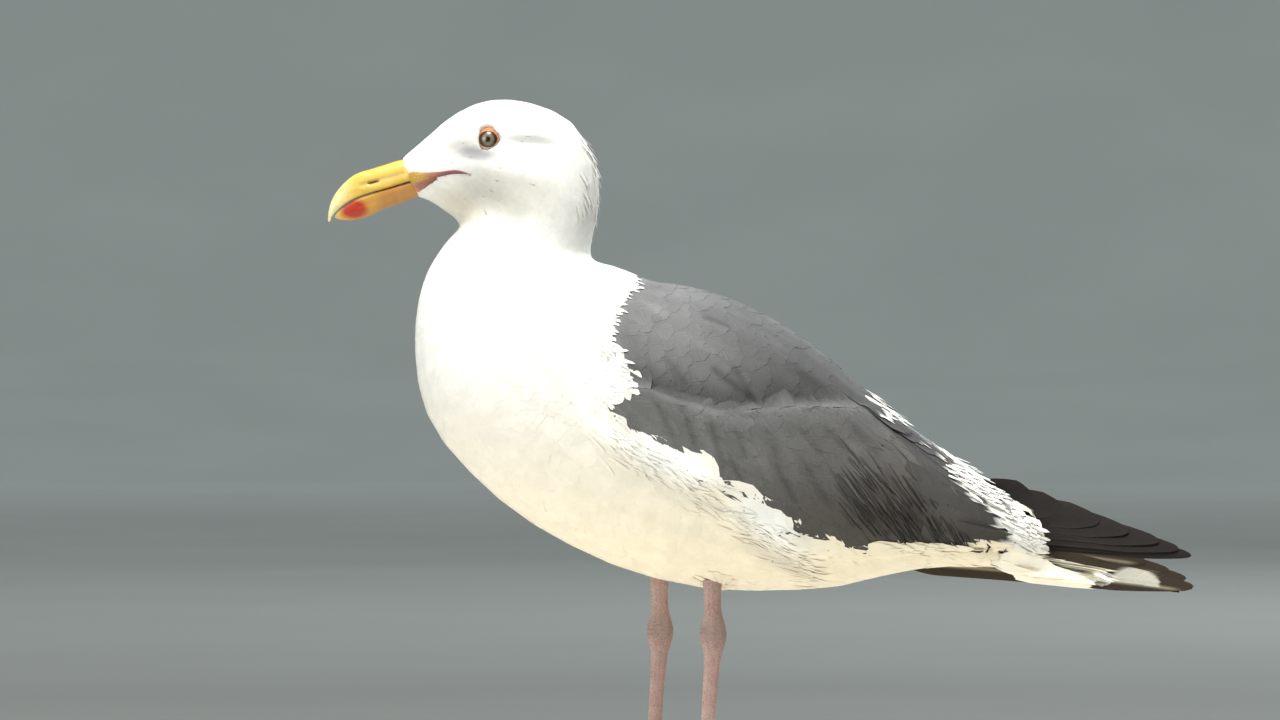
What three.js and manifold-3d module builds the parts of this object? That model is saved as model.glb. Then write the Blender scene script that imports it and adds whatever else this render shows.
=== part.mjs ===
// A western gull, life size and standing: millimetres, +Z up, facing -Y with its left side towards +X.
// Every part of the bird is one closed solid, and parts that touch keep a fine gap between them.
import * as THREE from 'three';
import { LoftGeometry } from 'three/addons/geometries/LoftGeometry.js';
import { mergeVertices } from 'three/addons/utils/BufferGeometryUtils.js';
import Module from 'manifold-3d';

const wasm = await Module();
wasm.setup();

// ---- driving dimensions ----

const GAP = 0.3; // fine gap between two parts that touch
const WELD = 1e-3; // vertices closer than this are one
const BEYOND = 400; // longer than the bird, for cutting blocks
const ROOM = GAP + 0.1; // room cut round the trunk, a little over the gap because the facets are flat

// Body ribs from the bill's root to the undertail. Each rib is the flat section through a point of the
// back line and a point of the belly line, both [y, z] on the bird's middle plane. `half` is half its
// width, `widest` the share of its height, from the belly line, where it is widest.
const BODY_RIBS = [
  { name: 'bill root', back: [-138.2, 342.7], belly: [-128.4, 321.4], half: 8.0, widest: 0.45 },
  { name: 'lores', back: [-129.5, 350.2], belly: [-124.2, 320.4], half: 11.8, widest: 0.45 },
  { name: 'forehead', back: [-119.5, 358.6], belly: [-118.6, 317.6], half: 15.4, widest: 0.46 },
  { name: 'brow', back: [-107.5, 368.6], belly: [-112.4, 313.2], half: 18.8, widest: 0.48 },
  { name: 'eye', back: [-92.4, 375.9], belly: [-107.4, 309.6], half: 21.6, widest: 0.52 },
  { name: 'crown', back: [-76.5, 377.8], belly: [-104.2, 306.8], half: 23.0, widest: 0.54 },
  { name: 'hind crown', back: [-58.0, 374.2], belly: [-103.4, 305.2], half: 24.0, widest: 0.55 },
  { name: 'occiput', back: [-40.5, 365.6], belly: [-104.4, 303.4], half: 25.0, widest: 0.54 },
  { name: 'nape', back: [-28.0, 348.0], belly: [-106.2, 301.2], half: 26.4, widest: 0.52 },
  { name: 'upper neck', back: [-23.0, 330.0], belly: [-108.8, 298.8], half: 28.0, widest: 0.50 },
  { name: 'mid neck', back: [-24.2, 311.5], belly: [-112.4, 294.6], half: 29.8, widest: 0.50 },
  { name: 'lower neck', back: [-27.8, 294.4], belly: [-117.2, 287.6], half: 32.2, widest: 0.50 },
  { name: 'neck root', back: [-28.0, 286.2], belly: [-122.8, 278.0], half: 35.8, widest: 0.50 },
  { name: 'collar', back: [-22.5, 283.6], belly: [-127.8, 262.4], half: 41.6, widest: 0.48 },
  { name: 'upper breast', back: [-14.0, 281.4], belly: [-129.8, 240.0], half: 48.6, widest: 0.46 },
  { name: 'breast', back: [-4.0, 277.6], belly: [-128.0, 214.0], half: 55.2, widest: 0.44 },
  { name: 'lower breast', back: [10.0, 272.2], belly: [-118.8, 188.0], half: 60.6, widest: 0.44 },
  { name: 'shoulder', back: [27.0, 266.6], belly: [-98.4, 163.2], half: 64.2, widest: 0.44 },
  { name: 'mantle', back: [45.0, 260.4], belly: [-72.0, 139.8], half: 65.8, widest: 0.45 },
  { name: 'upper belly', back: [66.0, 249.0], belly: [-40.0, 120.6], half: 65.4, widest: 0.46 },
  { name: 'belly', back: [88.0, 233.6], belly: [-4.0, 105.2], half: 62.8, widest: 0.47 },
  { name: 'lower belly', back: [109.0, 215.6], belly: [38.0, 95.8], half: 58.0, widest: 0.48 },
  { name: 'back', back: [130.0, 196.6], belly: [78.0, 94.6], half: 50.6, widest: 0.48 },
  { name: 'vent', back: [152.0, 177.0], belly: [114.0, 97.0], half: 42.0, widest: 0.46 },
  { name: 'rump', back: [174.0, 156.4], belly: [146.0, 104.6], half: 34.4, widest: 0.44 },
  { name: 'tail covert', back: [195.0, 136.0], belly: [176.0, 109.4], half: 28.6, widest: 0.42 },
  { name: 'undertail', back: [214.0, 121.6], belly: [206.0, 110.0], half: 24.6, widest: 0.42 },
  { name: 'covert tips', back: [225.0, 115.0], belly: [222.0, 108.8], half: 18.0, widest: 0.42 },
];
const BODY_POINTS = 26; // points round a body rib
const BODY_FULLNESS = 2.15; // superellipse exponent of a body rib, 2 is an ellipse
const NECK_FROM = 'upper neck'; // the rib where head and neck part
const TRUNK_FROM = 'collar'; // the rib where neck and trunk part
const BODY_STEPS = { head: 14, neck: 7, trunk: 21 }; // rings along each part of the body

// Cloak ribs: the outer shape of the two folded wings lying together over the trunk, as upright sections
// at `y` from `low` to `high`.
const CLOAK_RIBS = [
  { y: -34, low: 160, high: 266, half: 62.6, widest: 0.50 },
  { y: -16, low: 138, high: 273, half: 67.0, widest: 0.50 },
  { y: 10, low: 124, high: 271.6, half: 69.6, widest: 0.46 },
  { y: 42, low: 112, high: 265.4, half: 71.2, widest: 0.45 },
  { y: 75, low: 104, high: 251.4, half: 69.8, widest: 0.46 },
  { y: 104, low: 98, high: 232.0, half: 65.0, widest: 0.47 },
  { y: 135, low: 100, high: 205.6, half: 57.0, widest: 0.47 },
  { y: 171, low: 104, high: 179.6, half: 46.4, widest: 0.45 },
  { y: 207, low: 108, high: 154.4, half: 37.4, widest: 0.43 },
  { y: 240, low: 110, high: 138.0, half: 29.4, widest: 0.42 },
];
const CLOAK_POINTS = 26;
const CLOAK_FULLNESS = 2.1;
const CLOAK_STEPS = 14;
const SCAPULAR_RISE = 1.6; // how far the scapulars stand out over the coverts
const HOLLOW_FROM = 196; // behind this y the folded wing is a shell with the primaries under it
const SHELL = 3.2; // thickness of that shell
// Opening along the rump that the primaries' top edges rise through.
const SLOT = { half: 15.4, fromY: 198, fromZ: 136 };

// Side outlines on the y-z plane, joined by smooth curves between their points.
const WING_OUTLINE = [
  [4, 279], [-19, 259], [-21, 240], [-14, 223], [-26, 207], [-10, 186], [14, 170],
  [46, 150], [74, 132], [96, 118], [114, 113], [140, 116.6], [176, 119.6], [207, 119.8], [234, 118.4],
];
const WING_OUTLINE_REAR = [[234, 118.4], [229, 133], [219, 146], [214, 160]];
const SCAPULAR_LOWER_EDGE = [
  [-30, 236], [-16, 222], [4, 211], [24, 204], [48, 199.4], [74, 200], [100, 202], [139, 204.4],
];
const OUTLINE_STEPS = 3; // straight pieces to each point of a side outline

// Primaries: a blade at each side, from y `root` to y `tip`. The four corner lines run from root to tip:
// low edge and high edge, each [x, z].
const PRIMARY_ROOT_Y = 203;
const PRIMARIES = {
  left: {
    tipY: 316.8,
    low: [[24.6, 122.6], [22.0, 117.8], [19.6, 115.2], [12.4, 113.8]],
    high: [[4.6, 155.8], [6.2, 145.4], [8.6, 132.2], [10.8, 117.6]],
  },
  right: {
    tipY: 321.4,
    low: [[32.4, 107.0], [31.4, 99.6], [33.8, 95.2], [23.4, 91.8]],
    high: [[18.6, 132.0], [22.4, 122.8], [28.0, 113.4], [20.4, 98.6]],
  },
};
const PRIMARY_THICK = [3.0, 2.4, 1.8, 1.0]; // root to tip
const PRIMARY_BOW = 1.6; // how far the middle of a blade stands out past its edges
const PRIMARY_EDGE = 0.6; // thickness of its edges, as a share of its middle

// The right wing hangs a little lower and further out than the left one.
const RIGHT_DROOP = 3.4; // degrees, nose-up pitch of the wing about the shoulder
const RIGHT_SPREAD = 1.6; // degrees outwards about the shoulder
const WING_PIVOT = [40, -10, 130]; // x outwards, y, z
const RIGHT_TRIM = 14; // how far past the bird's middle the right wing is made, before it is swung and cut

const TAIL = {
  rootY: 184, tipY: 277, rootHalf: 20, tipHalf: 31.5, rootZ: 118.4, tipZ: 100.6, rootThick: 7, tipThick: 2.0,
  cornerShort: 8, // how much shorter the outer tail feathers are
  arch: 2.6, // how much lower the outer tail feathers lie
  edge: 0.3, // thickness of the outer edges, as a share of the middle
  swell: 0.5, // how much thicker the fan is half way along than a straight taper
};

// Bill ribs along each mandible: `top` and `bottom` [y, z], half width.
const UPPER_BILL = [
  { top: [-138.5, 342.5], bottom: [-132.6, 329.8], half: 7.6 },
  { top: [-146.0, 341.6], bottom: [-140.6, 327.6], half: 6.8 },
  { top: [-155.0, 338.8], bottom: [-150.0, 325.0], half: 5.9 },
  { top: [-164.0, 334.4], bottom: [-159.6, 321.9], half: 5.1 },
  { top: [-171.4, 328.4], bottom: [-167.0, 318.6], half: 4.3 },
  { top: [-176.8, 321.0], bottom: [-172.4, 314.9], half: 3.3 },
  { top: [-179.3, 313.6], bottom: [-176.4, 311.4], half: 2.0 },
  { top: [-179.8, 307.4], bottom: [-178.8, 306.8], half: 0.7 },
];
const LOWER_BILL = [
  { top: [-132.6, 329.5], bottom: [-128.8, 321.2], half: 7.0 },
  { top: [-141.0, 327.2], bottom: [-137.6, 317.8], half: 6.1 },
  { top: [-150.4, 324.6], bottom: [-147.2, 314.4], half: 5.3 },
  { top: [-158.4, 321.9], bottom: [-155.4, 310.7], half: 4.9 },
  { top: [-164.4, 319.5], bottom: [-161.4, 308.6], half: 4.4 },
  { top: [-170.0, 316.0], bottom: [-167.6, 308.0], half: 3.5 },
  { top: [-173.8, 312.9], bottom: [-172.6, 308.4], half: 2.2 },
  { top: [-175.8, 310.4], bottom: [-175.4, 309.2], half: 0.7 },
];
const BILL_POINTS = 14;
const BILL_STEPS = 9;
// A mandible is round on its outer face and flat where it meets the other one.
const BILL_ROUND = 2.0;
const BILL_FLAT = 4.5;
const BILL_WIDEST = { upper: 0.22, lower: 0.74 };

const EYE = { y: -86.4, z: 353.7, radius: 8.0, centreX: 15.1, bands: 7, sides: 14 };

// Legs: sections up the bare leg from the foot to inside the belly, `back` is the shift along +Y.
const LEG_SECTIONS = [
  { z: 9.4, back: 0.0, deep: 9.4, wide: 7.4 },
  { z: 14, back: 0.1, deep: 8.6, wide: 6.2 },
  { z: 30, back: 1.0, deep: 8.8, wide: 5.6 },
  { z: 48, back: 2.2, deep: 9.4, wide: 5.8 },
  { z: 58, back: 3.0, deep: 10.6, wide: 6.6 },
  { z: 65, back: 3.4, deep: 14.2, wide: 8.2 },
  { z: 71, back: 3.2, deep: 16.6, wide: 9.2 },
  { z: 77, back: 3.4, deep: 13.6, wide: 8.4 },
  { z: 83, back: 3.2, deep: 10.4, wide: 7.4 },
  { z: 92, back: 2.8, deep: 10.6, wide: 7.8 },
  { z: 112, back: 2.6, deep: 13.0, wide: 9.6 },
];
const LEG_POINTS = 10;
const LEG_STEPS = 15;
const FEET = { left: { x: 25, y: 38.6 }, right: { x: 25, y: 8.4 } };
const FOOT_TURN = 8; // degrees that each foot turns out

// Toes, from the middle of the foot: direction in degrees outwards from straight ahead, length, height.
const TOES = {
  inner: { aim: -29, length: 37, high: 5.2, joints: 2 },
  middle: { aim: 0, length: 50, high: 5.8, joints: 3 },
  outer: { aim: 27, length: 47, high: 5.2, joints: 4 },
};
const TOE = { half: 2.9, narrowing: 0.34, lowering: 0.3, swell: 0.1, arc: 5 };
const HIND_TOE = { x: -1.5, y: 2.5, z: 6.5, aim: 168, length: 10.5, thick: 3.6, tipThick: 2.6, drop: 2.2 };
const FOOT_HUB = [[0, 0], [5.4, 0], [5.6, 3], [5.0, 7], [4.0, 9.1], [0, 9.1]]; // [radius, z]
const FOOT_HUB_NARROW = 0.86;
const WEB = { thick: 1.3, shortOfTip: 2, bay: 0.44 };
const CLAW = { z: 3.0, length: 7.4, thick: 3.4, tipThick: 0.8, drop: 2.6 };
const HIND_CLAW = { z: 4.2, length: 4.2, thick: 2.4, tipThick: 0.7, drop: 1.6 };

// ---- finishes ----

const finish = (color, roughness) => new THREE.MeshStandardMaterial({ color, roughness, metalness: 0 });
const WHITE_FEATHER = finish(0xf2f1ea, 0.85);
const GREY_FEATHER = finish(0x6d6e70, 0.8);
const BLACK_FEATHER = finish(0x2b2624, 0.7);
const YELLOW_HORN = finish(0xe3ae3c, 0.45);
const IRIS = finish(0x8f8a68, 0.15);
const FLESH = finish(0xc79f98, 0.6);
const DARK_HORN = finish(0x2a2421, 0.4);

// ---- solids ----

function solidOf(geometry) {
  const source = geometry.index ? geometry.toNonIndexed() : geometry;
  const bare = new THREE.BufferGeometry().setAttribute('position', source.getAttribute('position'));
  const welded = mergeVertices(bare, WELD);
  return new wasm.Manifold(new wasm.Mesh({
    numProp: 3,
    vertProperties: welded.getAttribute('position').array,
    triVerts: new Uint32Array(welded.index.array),
  }));
}

const sumOf = (points) => points.reduce((sum, point) => sum.add(point), new THREE.Vector3());
const middleOf = (points) => sumOf(points).divideScalar(points.length);

// The direction square to a ring, with the ring running counterclockwise about it.
function ringNormal(ring) {
  const middle = middleOf(ring);
  const normal = new THREE.Vector3();
  ring.forEach((point, i) => {
    const next = ring[(i + 1) % ring.length];
    normal.add(new THREE.Vector3().crossVectors(point.clone().sub(middle), next.clone().sub(middle)));
  });
  return normal.normalize();
}

// A closed loft through rings of points, which run counterclockwise as seen from its end.
function loft(rings) {
  const ahead = middleOf(rings[1]).sub(middleOf(rings[0]));
  const wound = ringNormal(rings[0]).dot(ahead) > 0 ? rings : rings.map((ring) => [...ring].reverse());
  return solidOf(new LoftGeometry(wound, { capStart: true, capEnd: true }));
}

function meshOf(name, solid, material) {
  const { vertProperties, triVerts } = solid.getMesh();
  const geometry = new THREE.BufferGeometry()
    .setAttribute('position', new THREE.BufferAttribute(Float32Array.from(vertProperties), 3))
    .setIndex(new THREE.BufferAttribute(Uint32Array.from(triVerts), 1));
  geometry.computeVertexNormals();
  const mesh = new THREE.Mesh(geometry, material);
  mesh.name = name;
  return mesh;
}

function block(fromX, toX, fromY, toY, fromZ, toZ) {
  const box = new THREE.BoxGeometry(toX - fromX, toY - fromY, toZ - fromZ);
  box.translate((fromX + toX) / 2, (fromY + toY) / 2, (fromZ + toZ) / 2);
  return solidOf(box);
}

// Everything inside a side outline on the y-z plane, from one side of the bird to the other.
function throughBird(shape) {
  const prism = new THREE.ExtrudeGeometry(shape, { depth: 2 * BEYOND, bevelEnabled: false, curveSegments: 1 });
  const axes = new THREE.Matrix4().makeBasis(
    new THREE.Vector3(0, 1, 0), new THREE.Vector3(0, 0, 1), new THREE.Vector3(1, 0, 0));
  return solidOf(prism.applyMatrix4(axes).translate(-BEYOND, 0, 0));
}

// One section: `top` and `bottom` are Vector3 on the middle plane, the outline is two half superellipses
// that meet at the widest height.
function ribRing({ top, bottom, half, widest, upperFull, lowerFull, points, grow = 0 }) {
  const line = new THREE.Vector3().subVectors(top, bottom);
  const height = line.length();
  const up = line.divideScalar(height);
  const waist = bottom.clone().addScaledVector(up, height * widest);
  return Array.from({ length: points }, (_, i) => {
    const angle = (2 * Math.PI * i) / points;
    const rise = Math.cos(angle);
    const out = Math.sin(angle);
    const power = 2 / (rise >= 0 ? upperFull : lowerFull);
    const reach = (rise >= 0 ? height * (1 - widest) : height * widest) + grow;
    const lift = Math.sign(rise) * Math.pow(Math.abs(rise), power) * reach;
    const side = Math.sign(out) * Math.pow(Math.abs(out), power) * (half + grow);
    return waist.clone().addScaledVector(up, lift).add(new THREE.Vector3(side, 0, 0));
  });
}

const onMiddle = ([y, z]) => new THREE.Vector3(0, y, z);
const smooth = (points) => new THREE.CatmullRomCurve3(points, false, 'catmullrom', 0.5);

// A smooth run of ribs: each curve passes through its ribs' values at equal steps.
class RibRun {
  constructor(ribs, { points, upperFull, lowerFull }) {
    this.tops = smooth(ribs.map((rib) => onMiddle(rib.top)));
    this.bottoms = smooth(ribs.map((rib) => onMiddle(rib.bottom)));
    this.sizes = smooth(ribs.map((rib) => new THREE.Vector3(rib.half, rib.widest, 0)));
    this.last = ribs.length - 1;
    this.look = { points, upperFull, lowerFull };
  }

  ring(at, grow = 0) {
    const share = at / this.last;
    const size = this.sizes.getPoint(share);
    return ribRing({
      ...this.look, grow, half: size.x, widest: size.y,
      top: this.tops.getPoint(share), bottom: this.bottoms.getPoint(share),
    });
  }

  // The solid from rib `from` to rib `to`. Its ends are drawn in by half a gap along the body's line.
  solid(from, to, steps, { grow = 0, trimStart = false, trimEnd = false } = {}) {
    const stops = Array.from({ length: steps + 1 }, (_, i) => from + ((to - from) * i) / steps);
    const rings = stops.map((at) => this.ring(at, grow));
    if (trimStart) moveAlong(rings[0], rings[1], GAP / 2);
    if (trimEnd) moveAlong(rings[steps], rings[steps - 1], GAP / 2);
    return loft(rings);
  }
}

// Moves a flat ring square to its own plane, towards another ring.
function moveAlong(ring, towards, distance) {
  const normal = ringNormal(ring);
  if (normal.dot(middleOf(towards).sub(middleOf(ring))) < 0) normal.negate();
  ring.forEach((p) => p.addScaledVector(normal, distance));
}

const ribNumber = (name) => BODY_RIBS.findIndex((rib) => rib.name === name);

// ---- head, neck and trunk ----

const body = new RibRun(
  BODY_RIBS.map(({ back, belly, half, widest }) => ({ top: back, bottom: belly, half, widest })),
  { points: BODY_POINTS, upperFull: BODY_FULLNESS, lowerFull: BODY_FULLNESS });
const neckAt = ribNumber(NECK_FROM);
const trunkAt = ribNumber(TRUNK_FROM);
const tailEnd = BODY_RIBS.length - 1;

function eyeBall(side, grow = 0) {
  const radius = EYE.radius + grow;
  const profile = Array.from({ length: EYE.bands + 1 }, (_, i) => {
    const angle = -Math.PI / 2 + (Math.PI * i) / EYE.bands;
    return new THREE.Vector2(radius * Math.cos(angle), radius * Math.sin(angle));
  });
  profile[0].x = 0;
  profile[EYE.bands].x = 0;
  const ball = new THREE.LatheGeometry(profile, EYE.sides);
  ball.rotateZ(-Math.PI / 2);
  return solidOf(ball.translate(side * EYE.centreX, EYE.y, EYE.z));
}

function headSolid() {
  const skull = body.solid(0, neckAt, BODY_STEPS.head, { trimStart: true, trimEnd: true });
  return skull.subtract(eyeBall(1, GAP)).subtract(eyeBall(-1, GAP));
}

function trunkSolid(grow = 0) {
  return body.solid(trunkAt, tailEnd, BODY_STEPS.trunk, { grow, trimStart: grow === 0 });
}

const trunkRoom = trunkSolid(ROOM);

// ---- wings ----

const cloakRun = new RibRun(
  CLOAK_RIBS.map(({ y, low, high, half, widest }) => ({ top: [y, high], bottom: [y, low], half, widest })),
  { points: CLOAK_POINTS, upperFull: CLOAK_FULLNESS, lowerFull: CLOAK_FULLNESS });
const cloakEnd = CLOAK_RIBS.length - 1;
const cloak = (grow = 0) => cloakRun.solid(0, cloakEnd, CLOAK_STEPS, { grow });

function splineThrough(shape, points) {
  shape.splineThru(points.map(([y, z]) => new THREE.Vector2(y, z)));
}

function wingOutline() {
  const shape = new THREE.Shape();
  shape.moveTo(...WING_OUTLINE[0]);
  splineThrough(shape, WING_OUTLINE.slice(1));
  splineThrough(shape, WING_OUTLINE_REAR.slice(1));
  shape.lineTo(BEYOND / 2, BEYOND);
  shape.lineTo(WING_OUTLINE[0][0], BEYOND);
  return new THREE.Shape(shape.getPoints(OUTLINE_STEPS));
}

function aboveLine(points, shift) {
  const shape = new THREE.Shape();
  shape.moveTo(points[0][0] - BEYOND, BEYOND);
  shape.lineTo(points[0][0] - BEYOND, points[0][1] + shift);
  shape.lineTo(points[0][0], points[0][1] + shift);
  splineThrough(shape, points.slice(1).map(([y, z]) => [y, z + shift]));
  shape.lineTo(points.at(-1)[0], BEYOND);
  return new THREE.Shape(shape.getPoints(OUTLINE_STEPS));
}

// The left folded wing from `fromX` out: scapulars above, coverts with secondaries and tertials below.
function wingSolids(fromX) {
  const half = block(fromX, BEYOND, -BEYOND, BEYOND, 0, BEYOND);
  const outline = throughBird(wingOutline());
  const hollow = cloak(-SHELL).intersect(block(-BEYOND, BEYOND, HOLLOW_FROM, BEYOND, 0, BEYOND))
    .add(block(-SLOT.half, SLOT.half, SLOT.fromY, BEYOND, SLOT.fromZ, BEYOND));
  const folded = (grow) => cloak(grow).intersect(outline).intersect(half).subtract(trunkRoom).subtract(hollow);
  const scapularZone = throughBird(aboveLine(SCAPULAR_LOWER_EDGE, 0));
  const covertZone = throughBird(aboveLine(SCAPULAR_LOWER_EDGE, -GAP));
  return {
    scapulars: folded(SCAPULAR_RISE).intersect(scapularZone),
    coverts: folded(0).subtract(covertZone),
  };
}

// A thin blade through pairs of edge points, thickest in its middle.
function primaryBlade(side, { tipY, low, high }) {
  const sign = side === 'left' ? 1 : -1;
  const lows = smooth(low.map(([x, z]) => new THREE.Vector3(sign * x, 0, z)));
  const highs = smooth(high.map(([x, z]) => new THREE.Vector3(sign * x, 0, z)));
  const thick = smooth(PRIMARY_THICK.map((t) => new THREE.Vector3(t, 0, 0)));
  const rows = 9;
  const across = 6;
  const rings = Array.from({ length: rows + 1 }, (_, i) => {
    const share = i / rows;
    const y = PRIMARY_ROOT_Y + (tipY - PRIMARY_ROOT_Y) * share;
    const from = lows.getPoint(share).setY(y);
    const to = highs.getPoint(share).setY(y);
    const face = new THREE.Vector3(to.z - from.z, 0, from.x - to.x).normalize().multiplyScalar(sign);
    const t = thick.getPoint(share).x;
    const edge = (k, direction) => {
      const bow = Math.sin((Math.PI * k) / across);
      const place = new THREE.Vector3().lerpVectors(from, to, k / across);
      const thickHere = t * (PRIMARY_EDGE + (1 - PRIMARY_EDGE) * bow);
      return place.addScaledVector(face, PRIMARY_BOW * bow + (direction * thickHere) / 2);
    };
    const outer = Array.from({ length: across + 1 }, (_, k) => edge(k, 1));
    const inner = Array.from({ length: across + 1 }, (_, k) => edge(across - k, -1));
    return [...outer, ...inner];
  });
  return loft(rings);
}

// ---- tail ----

// Slats side by side: each ring is the thin upright section of the fan at one place across it.
function tailSolid() {
  const columns = 8;
  const rings = Array.from({ length: columns + 1 }, (_, i) => {
    const across = -1 + (2 * i) / columns;
    const outer = Math.abs(across);
    const tipY = TAIL.tipY - TAIL.cornerShort * outer ** 3;
    const sink = TAIL.arch * outer ** 2;
    const top = [0, 0.5, 1].map((share) => tailPoint(across, share, tipY, sink, 0.5));
    const under = [1, 0.5, 0].map((share) => tailPoint(across, share, tipY, sink, -0.5));
    return [...top, ...under];
  });
  return loft(rings).subtract(trunkRoom);
}

function tailPoint(across, share, tipY, sink, face) {
  const mix = THREE.MathUtils.lerp;
  const edge = 1 - (1 - TAIL.edge) * Math.abs(across) ** 4;
  const swell = 1 + TAIL.swell * Math.sin(Math.PI * share);
  const thick = mix(TAIL.rootThick, TAIL.tipThick, share) * edge * swell;
  return new THREE.Vector3(
    across * mix(TAIL.rootHalf, TAIL.tipHalf, share),
    mix(TAIL.rootY, tipY, share),
    mix(TAIL.rootZ, TAIL.tipZ, share) - sink * share + face * thick);
}

// ---- bill ----

function billSolid(ribs, widest, upperFull, lowerFull) {
  const run = new RibRun(ribs.map((rib) => ({ ...rib, widest })), { points: BILL_POINTS, upperFull, lowerFull });
  return run.solid(0, ribs.length - 1, BILL_STEPS);
}

// ---- legs and feet ----

function legSolid(sign, foot) {
  const spine = smooth(LEG_SECTIONS.map(({ z, back }) => new THREE.Vector3(sign * foot.x, foot.y + back, z)));
  const sizes = smooth(LEG_SECTIONS.map(({ deep, wide }) => new THREE.Vector3(wide / 2, deep / 2, 0)));
  const rings = Array.from({ length: LEG_STEPS + 1 }, (_, i) => {
    const centre = spine.getPoint(i / LEG_STEPS);
    const size = sizes.getPoint(i / LEG_STEPS);
    return Array.from({ length: LEG_POINTS }, (_, j) => {
      const angle = (2 * Math.PI * j) / LEG_POINTS;
      return new THREE.Vector3(size.x * Math.cos(angle), size.y * Math.sin(angle), 0).add(centre);
    });
  });
  return loft(rings).subtract(trunkRoom);
}

const aimed = (degrees) => new THREE.Vector2(
  Math.sin(THREE.MathUtils.degToRad(degrees)), -Math.cos(THREE.MathUtils.degToRad(degrees)));

// A toe lies flat on its sole: its section is a half ellipse, swollen at each joint.
function toeSolid({ aim, length, high, joints }) {
  const way = aimed(aim);
  const side = new THREE.Vector2(-way.y, way.x);
  const steps = 2 * joints;
  const rings = Array.from({ length: steps + 1 }, (_, i) => {
    const share = i / steps;
    const swell = 1 + TOE.swell * Math.cos(2 * Math.PI * joints * share);
    const half = TOE.half * (1 - TOE.narrowing * share) * swell;
    const tall = high * (1 - TOE.lowering * share) * swell;
    return Array.from({ length: TOE.arc + 1 }, (_, j) => {
      const angle = (Math.PI * j) / TOE.arc;
      const out = half * Math.cos(angle);
      return new THREE.Vector3(
        way.x * length * share + side.x * out, way.y * length * share + side.y * out, tall * Math.sin(angle));
    });
  });
  return loft(rings);
}

// The web between two toes, its free edge a shallow bay.
function webSolid(one, other) {
  const tipOf = (toe) => aimed(toe.aim).multiplyScalar(toe.length - WEB.shortOfTip);
  const from = tipOf(one);
  const to = tipOf(other);
  const bay = from.clone().add(to).multiplyScalar(WEB.bay);
  const shape = new THREE.Shape();
  shape.moveTo(0, 0);
  shape.lineTo(from.x, from.y);
  shape.quadraticCurveTo(bay.x, bay.y, to.x, to.y);
  return solidOf(new THREE.ExtrudeGeometry(shape, { depth: WEB.thick, bevelEnabled: false, curveSegments: 4 }));
}

function footHub() {
  const hub = new THREE.LatheGeometry(FOOT_HUB.map(([r, z]) => new THREE.Vector2(r, z)), LEG_POINTS);
  return solidOf(hub.rotateX(Math.PI / 2).scale(FOOT_HUB_NARROW, 1, 1));
}

// A short tapered horn or toe along an arc, from `start` towards `way`, sinking by `drop`.
function taper(start, way, { length, thick, tipThick, drop }, points = 6, steps = 3) {
  const rings = Array.from({ length: steps + 1 }, (_, i) => {
    const share = i / steps;
    const radius = THREE.MathUtils.lerp(thick, tipThick, share ** 1.4) / 2;
    const side = new THREE.Vector3(-way.y, way.x, 0);
    const middle = start.clone().add(
      new THREE.Vector3(way.x * length * share, way.y * length * share, -drop * share ** 2));
    return Array.from({ length: points }, (_, j) => {
      const angle = (2 * Math.PI * j) / points;
      return middle.clone().addScaledVector(side, radius * Math.cos(angle)).add(
        new THREE.Vector3(0, 0, radius * Math.sin(angle)));
    });
  });
  return loft(rings);
}

function footSolid() {
  const toes = Object.values(TOES).map(toeSolid);
  const webs = [webSolid(TOES.inner, TOES.middle), webSolid(TOES.middle, TOES.outer)];
  const hind = taper(new THREE.Vector3(HIND_TOE.x, HIND_TOE.y, HIND_TOE.z), aimed(HIND_TOE.aim), HIND_TOE, 8);
  return [...toes, ...webs, hind].reduce((foot, piece) => foot.add(piece), footHub());
}

function clawSolids() {
  const claws = {};
  for (const [name, toe] of Object.entries(TOES)) {
    const way = aimed(toe.aim);
    const from = toe.length + GAP;
    claws[name] = taper(new THREE.Vector3(way.x * from, way.y * from, CLAW.z), way, CLAW);
  }
  const hindWay = aimed(HIND_TOE.aim);
  const hindFrom = HIND_TOE.length + GAP;
  const hindStart = new THREE.Vector3(
    HIND_TOE.x + hindWay.x * hindFrom, HIND_TOE.y + hindWay.y * hindFrom, HIND_CLAW.z);
  claws.hind = taper(hindStart, hindWay, HIND_CLAW);
  return claws;
}

// ---- the bird ----

const gull = new THREE.Group();
const add = (name, solid, material) => gull.add(meshOf(name, solid, material));
const mirrored = (solid) => solid.mirror([1, 0, 0]);

add('head', headSolid(), WHITE_FEATHER);
add('neck', body.solid(neckAt, trunkAt, BODY_STEPS.neck, { trimStart: true, trimEnd: true }), WHITE_FEATHER);
add('trunk', trunkSolid(), WHITE_FEATHER);
add('tail', tailSolid(), WHITE_FEATHER);
add('bill_upper', billSolid(UPPER_BILL, BILL_WIDEST.upper, BILL_ROUND, BILL_FLAT), YELLOW_HORN);
add('bill_lower', billSolid(LOWER_BILL, BILL_WIDEST.lower, BILL_FLAT, BILL_ROUND), YELLOW_HORN);
add('eye_left', eyeBall(1), IRIS);
add('eye_right', eyeBall(-1), IRIS);

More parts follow.
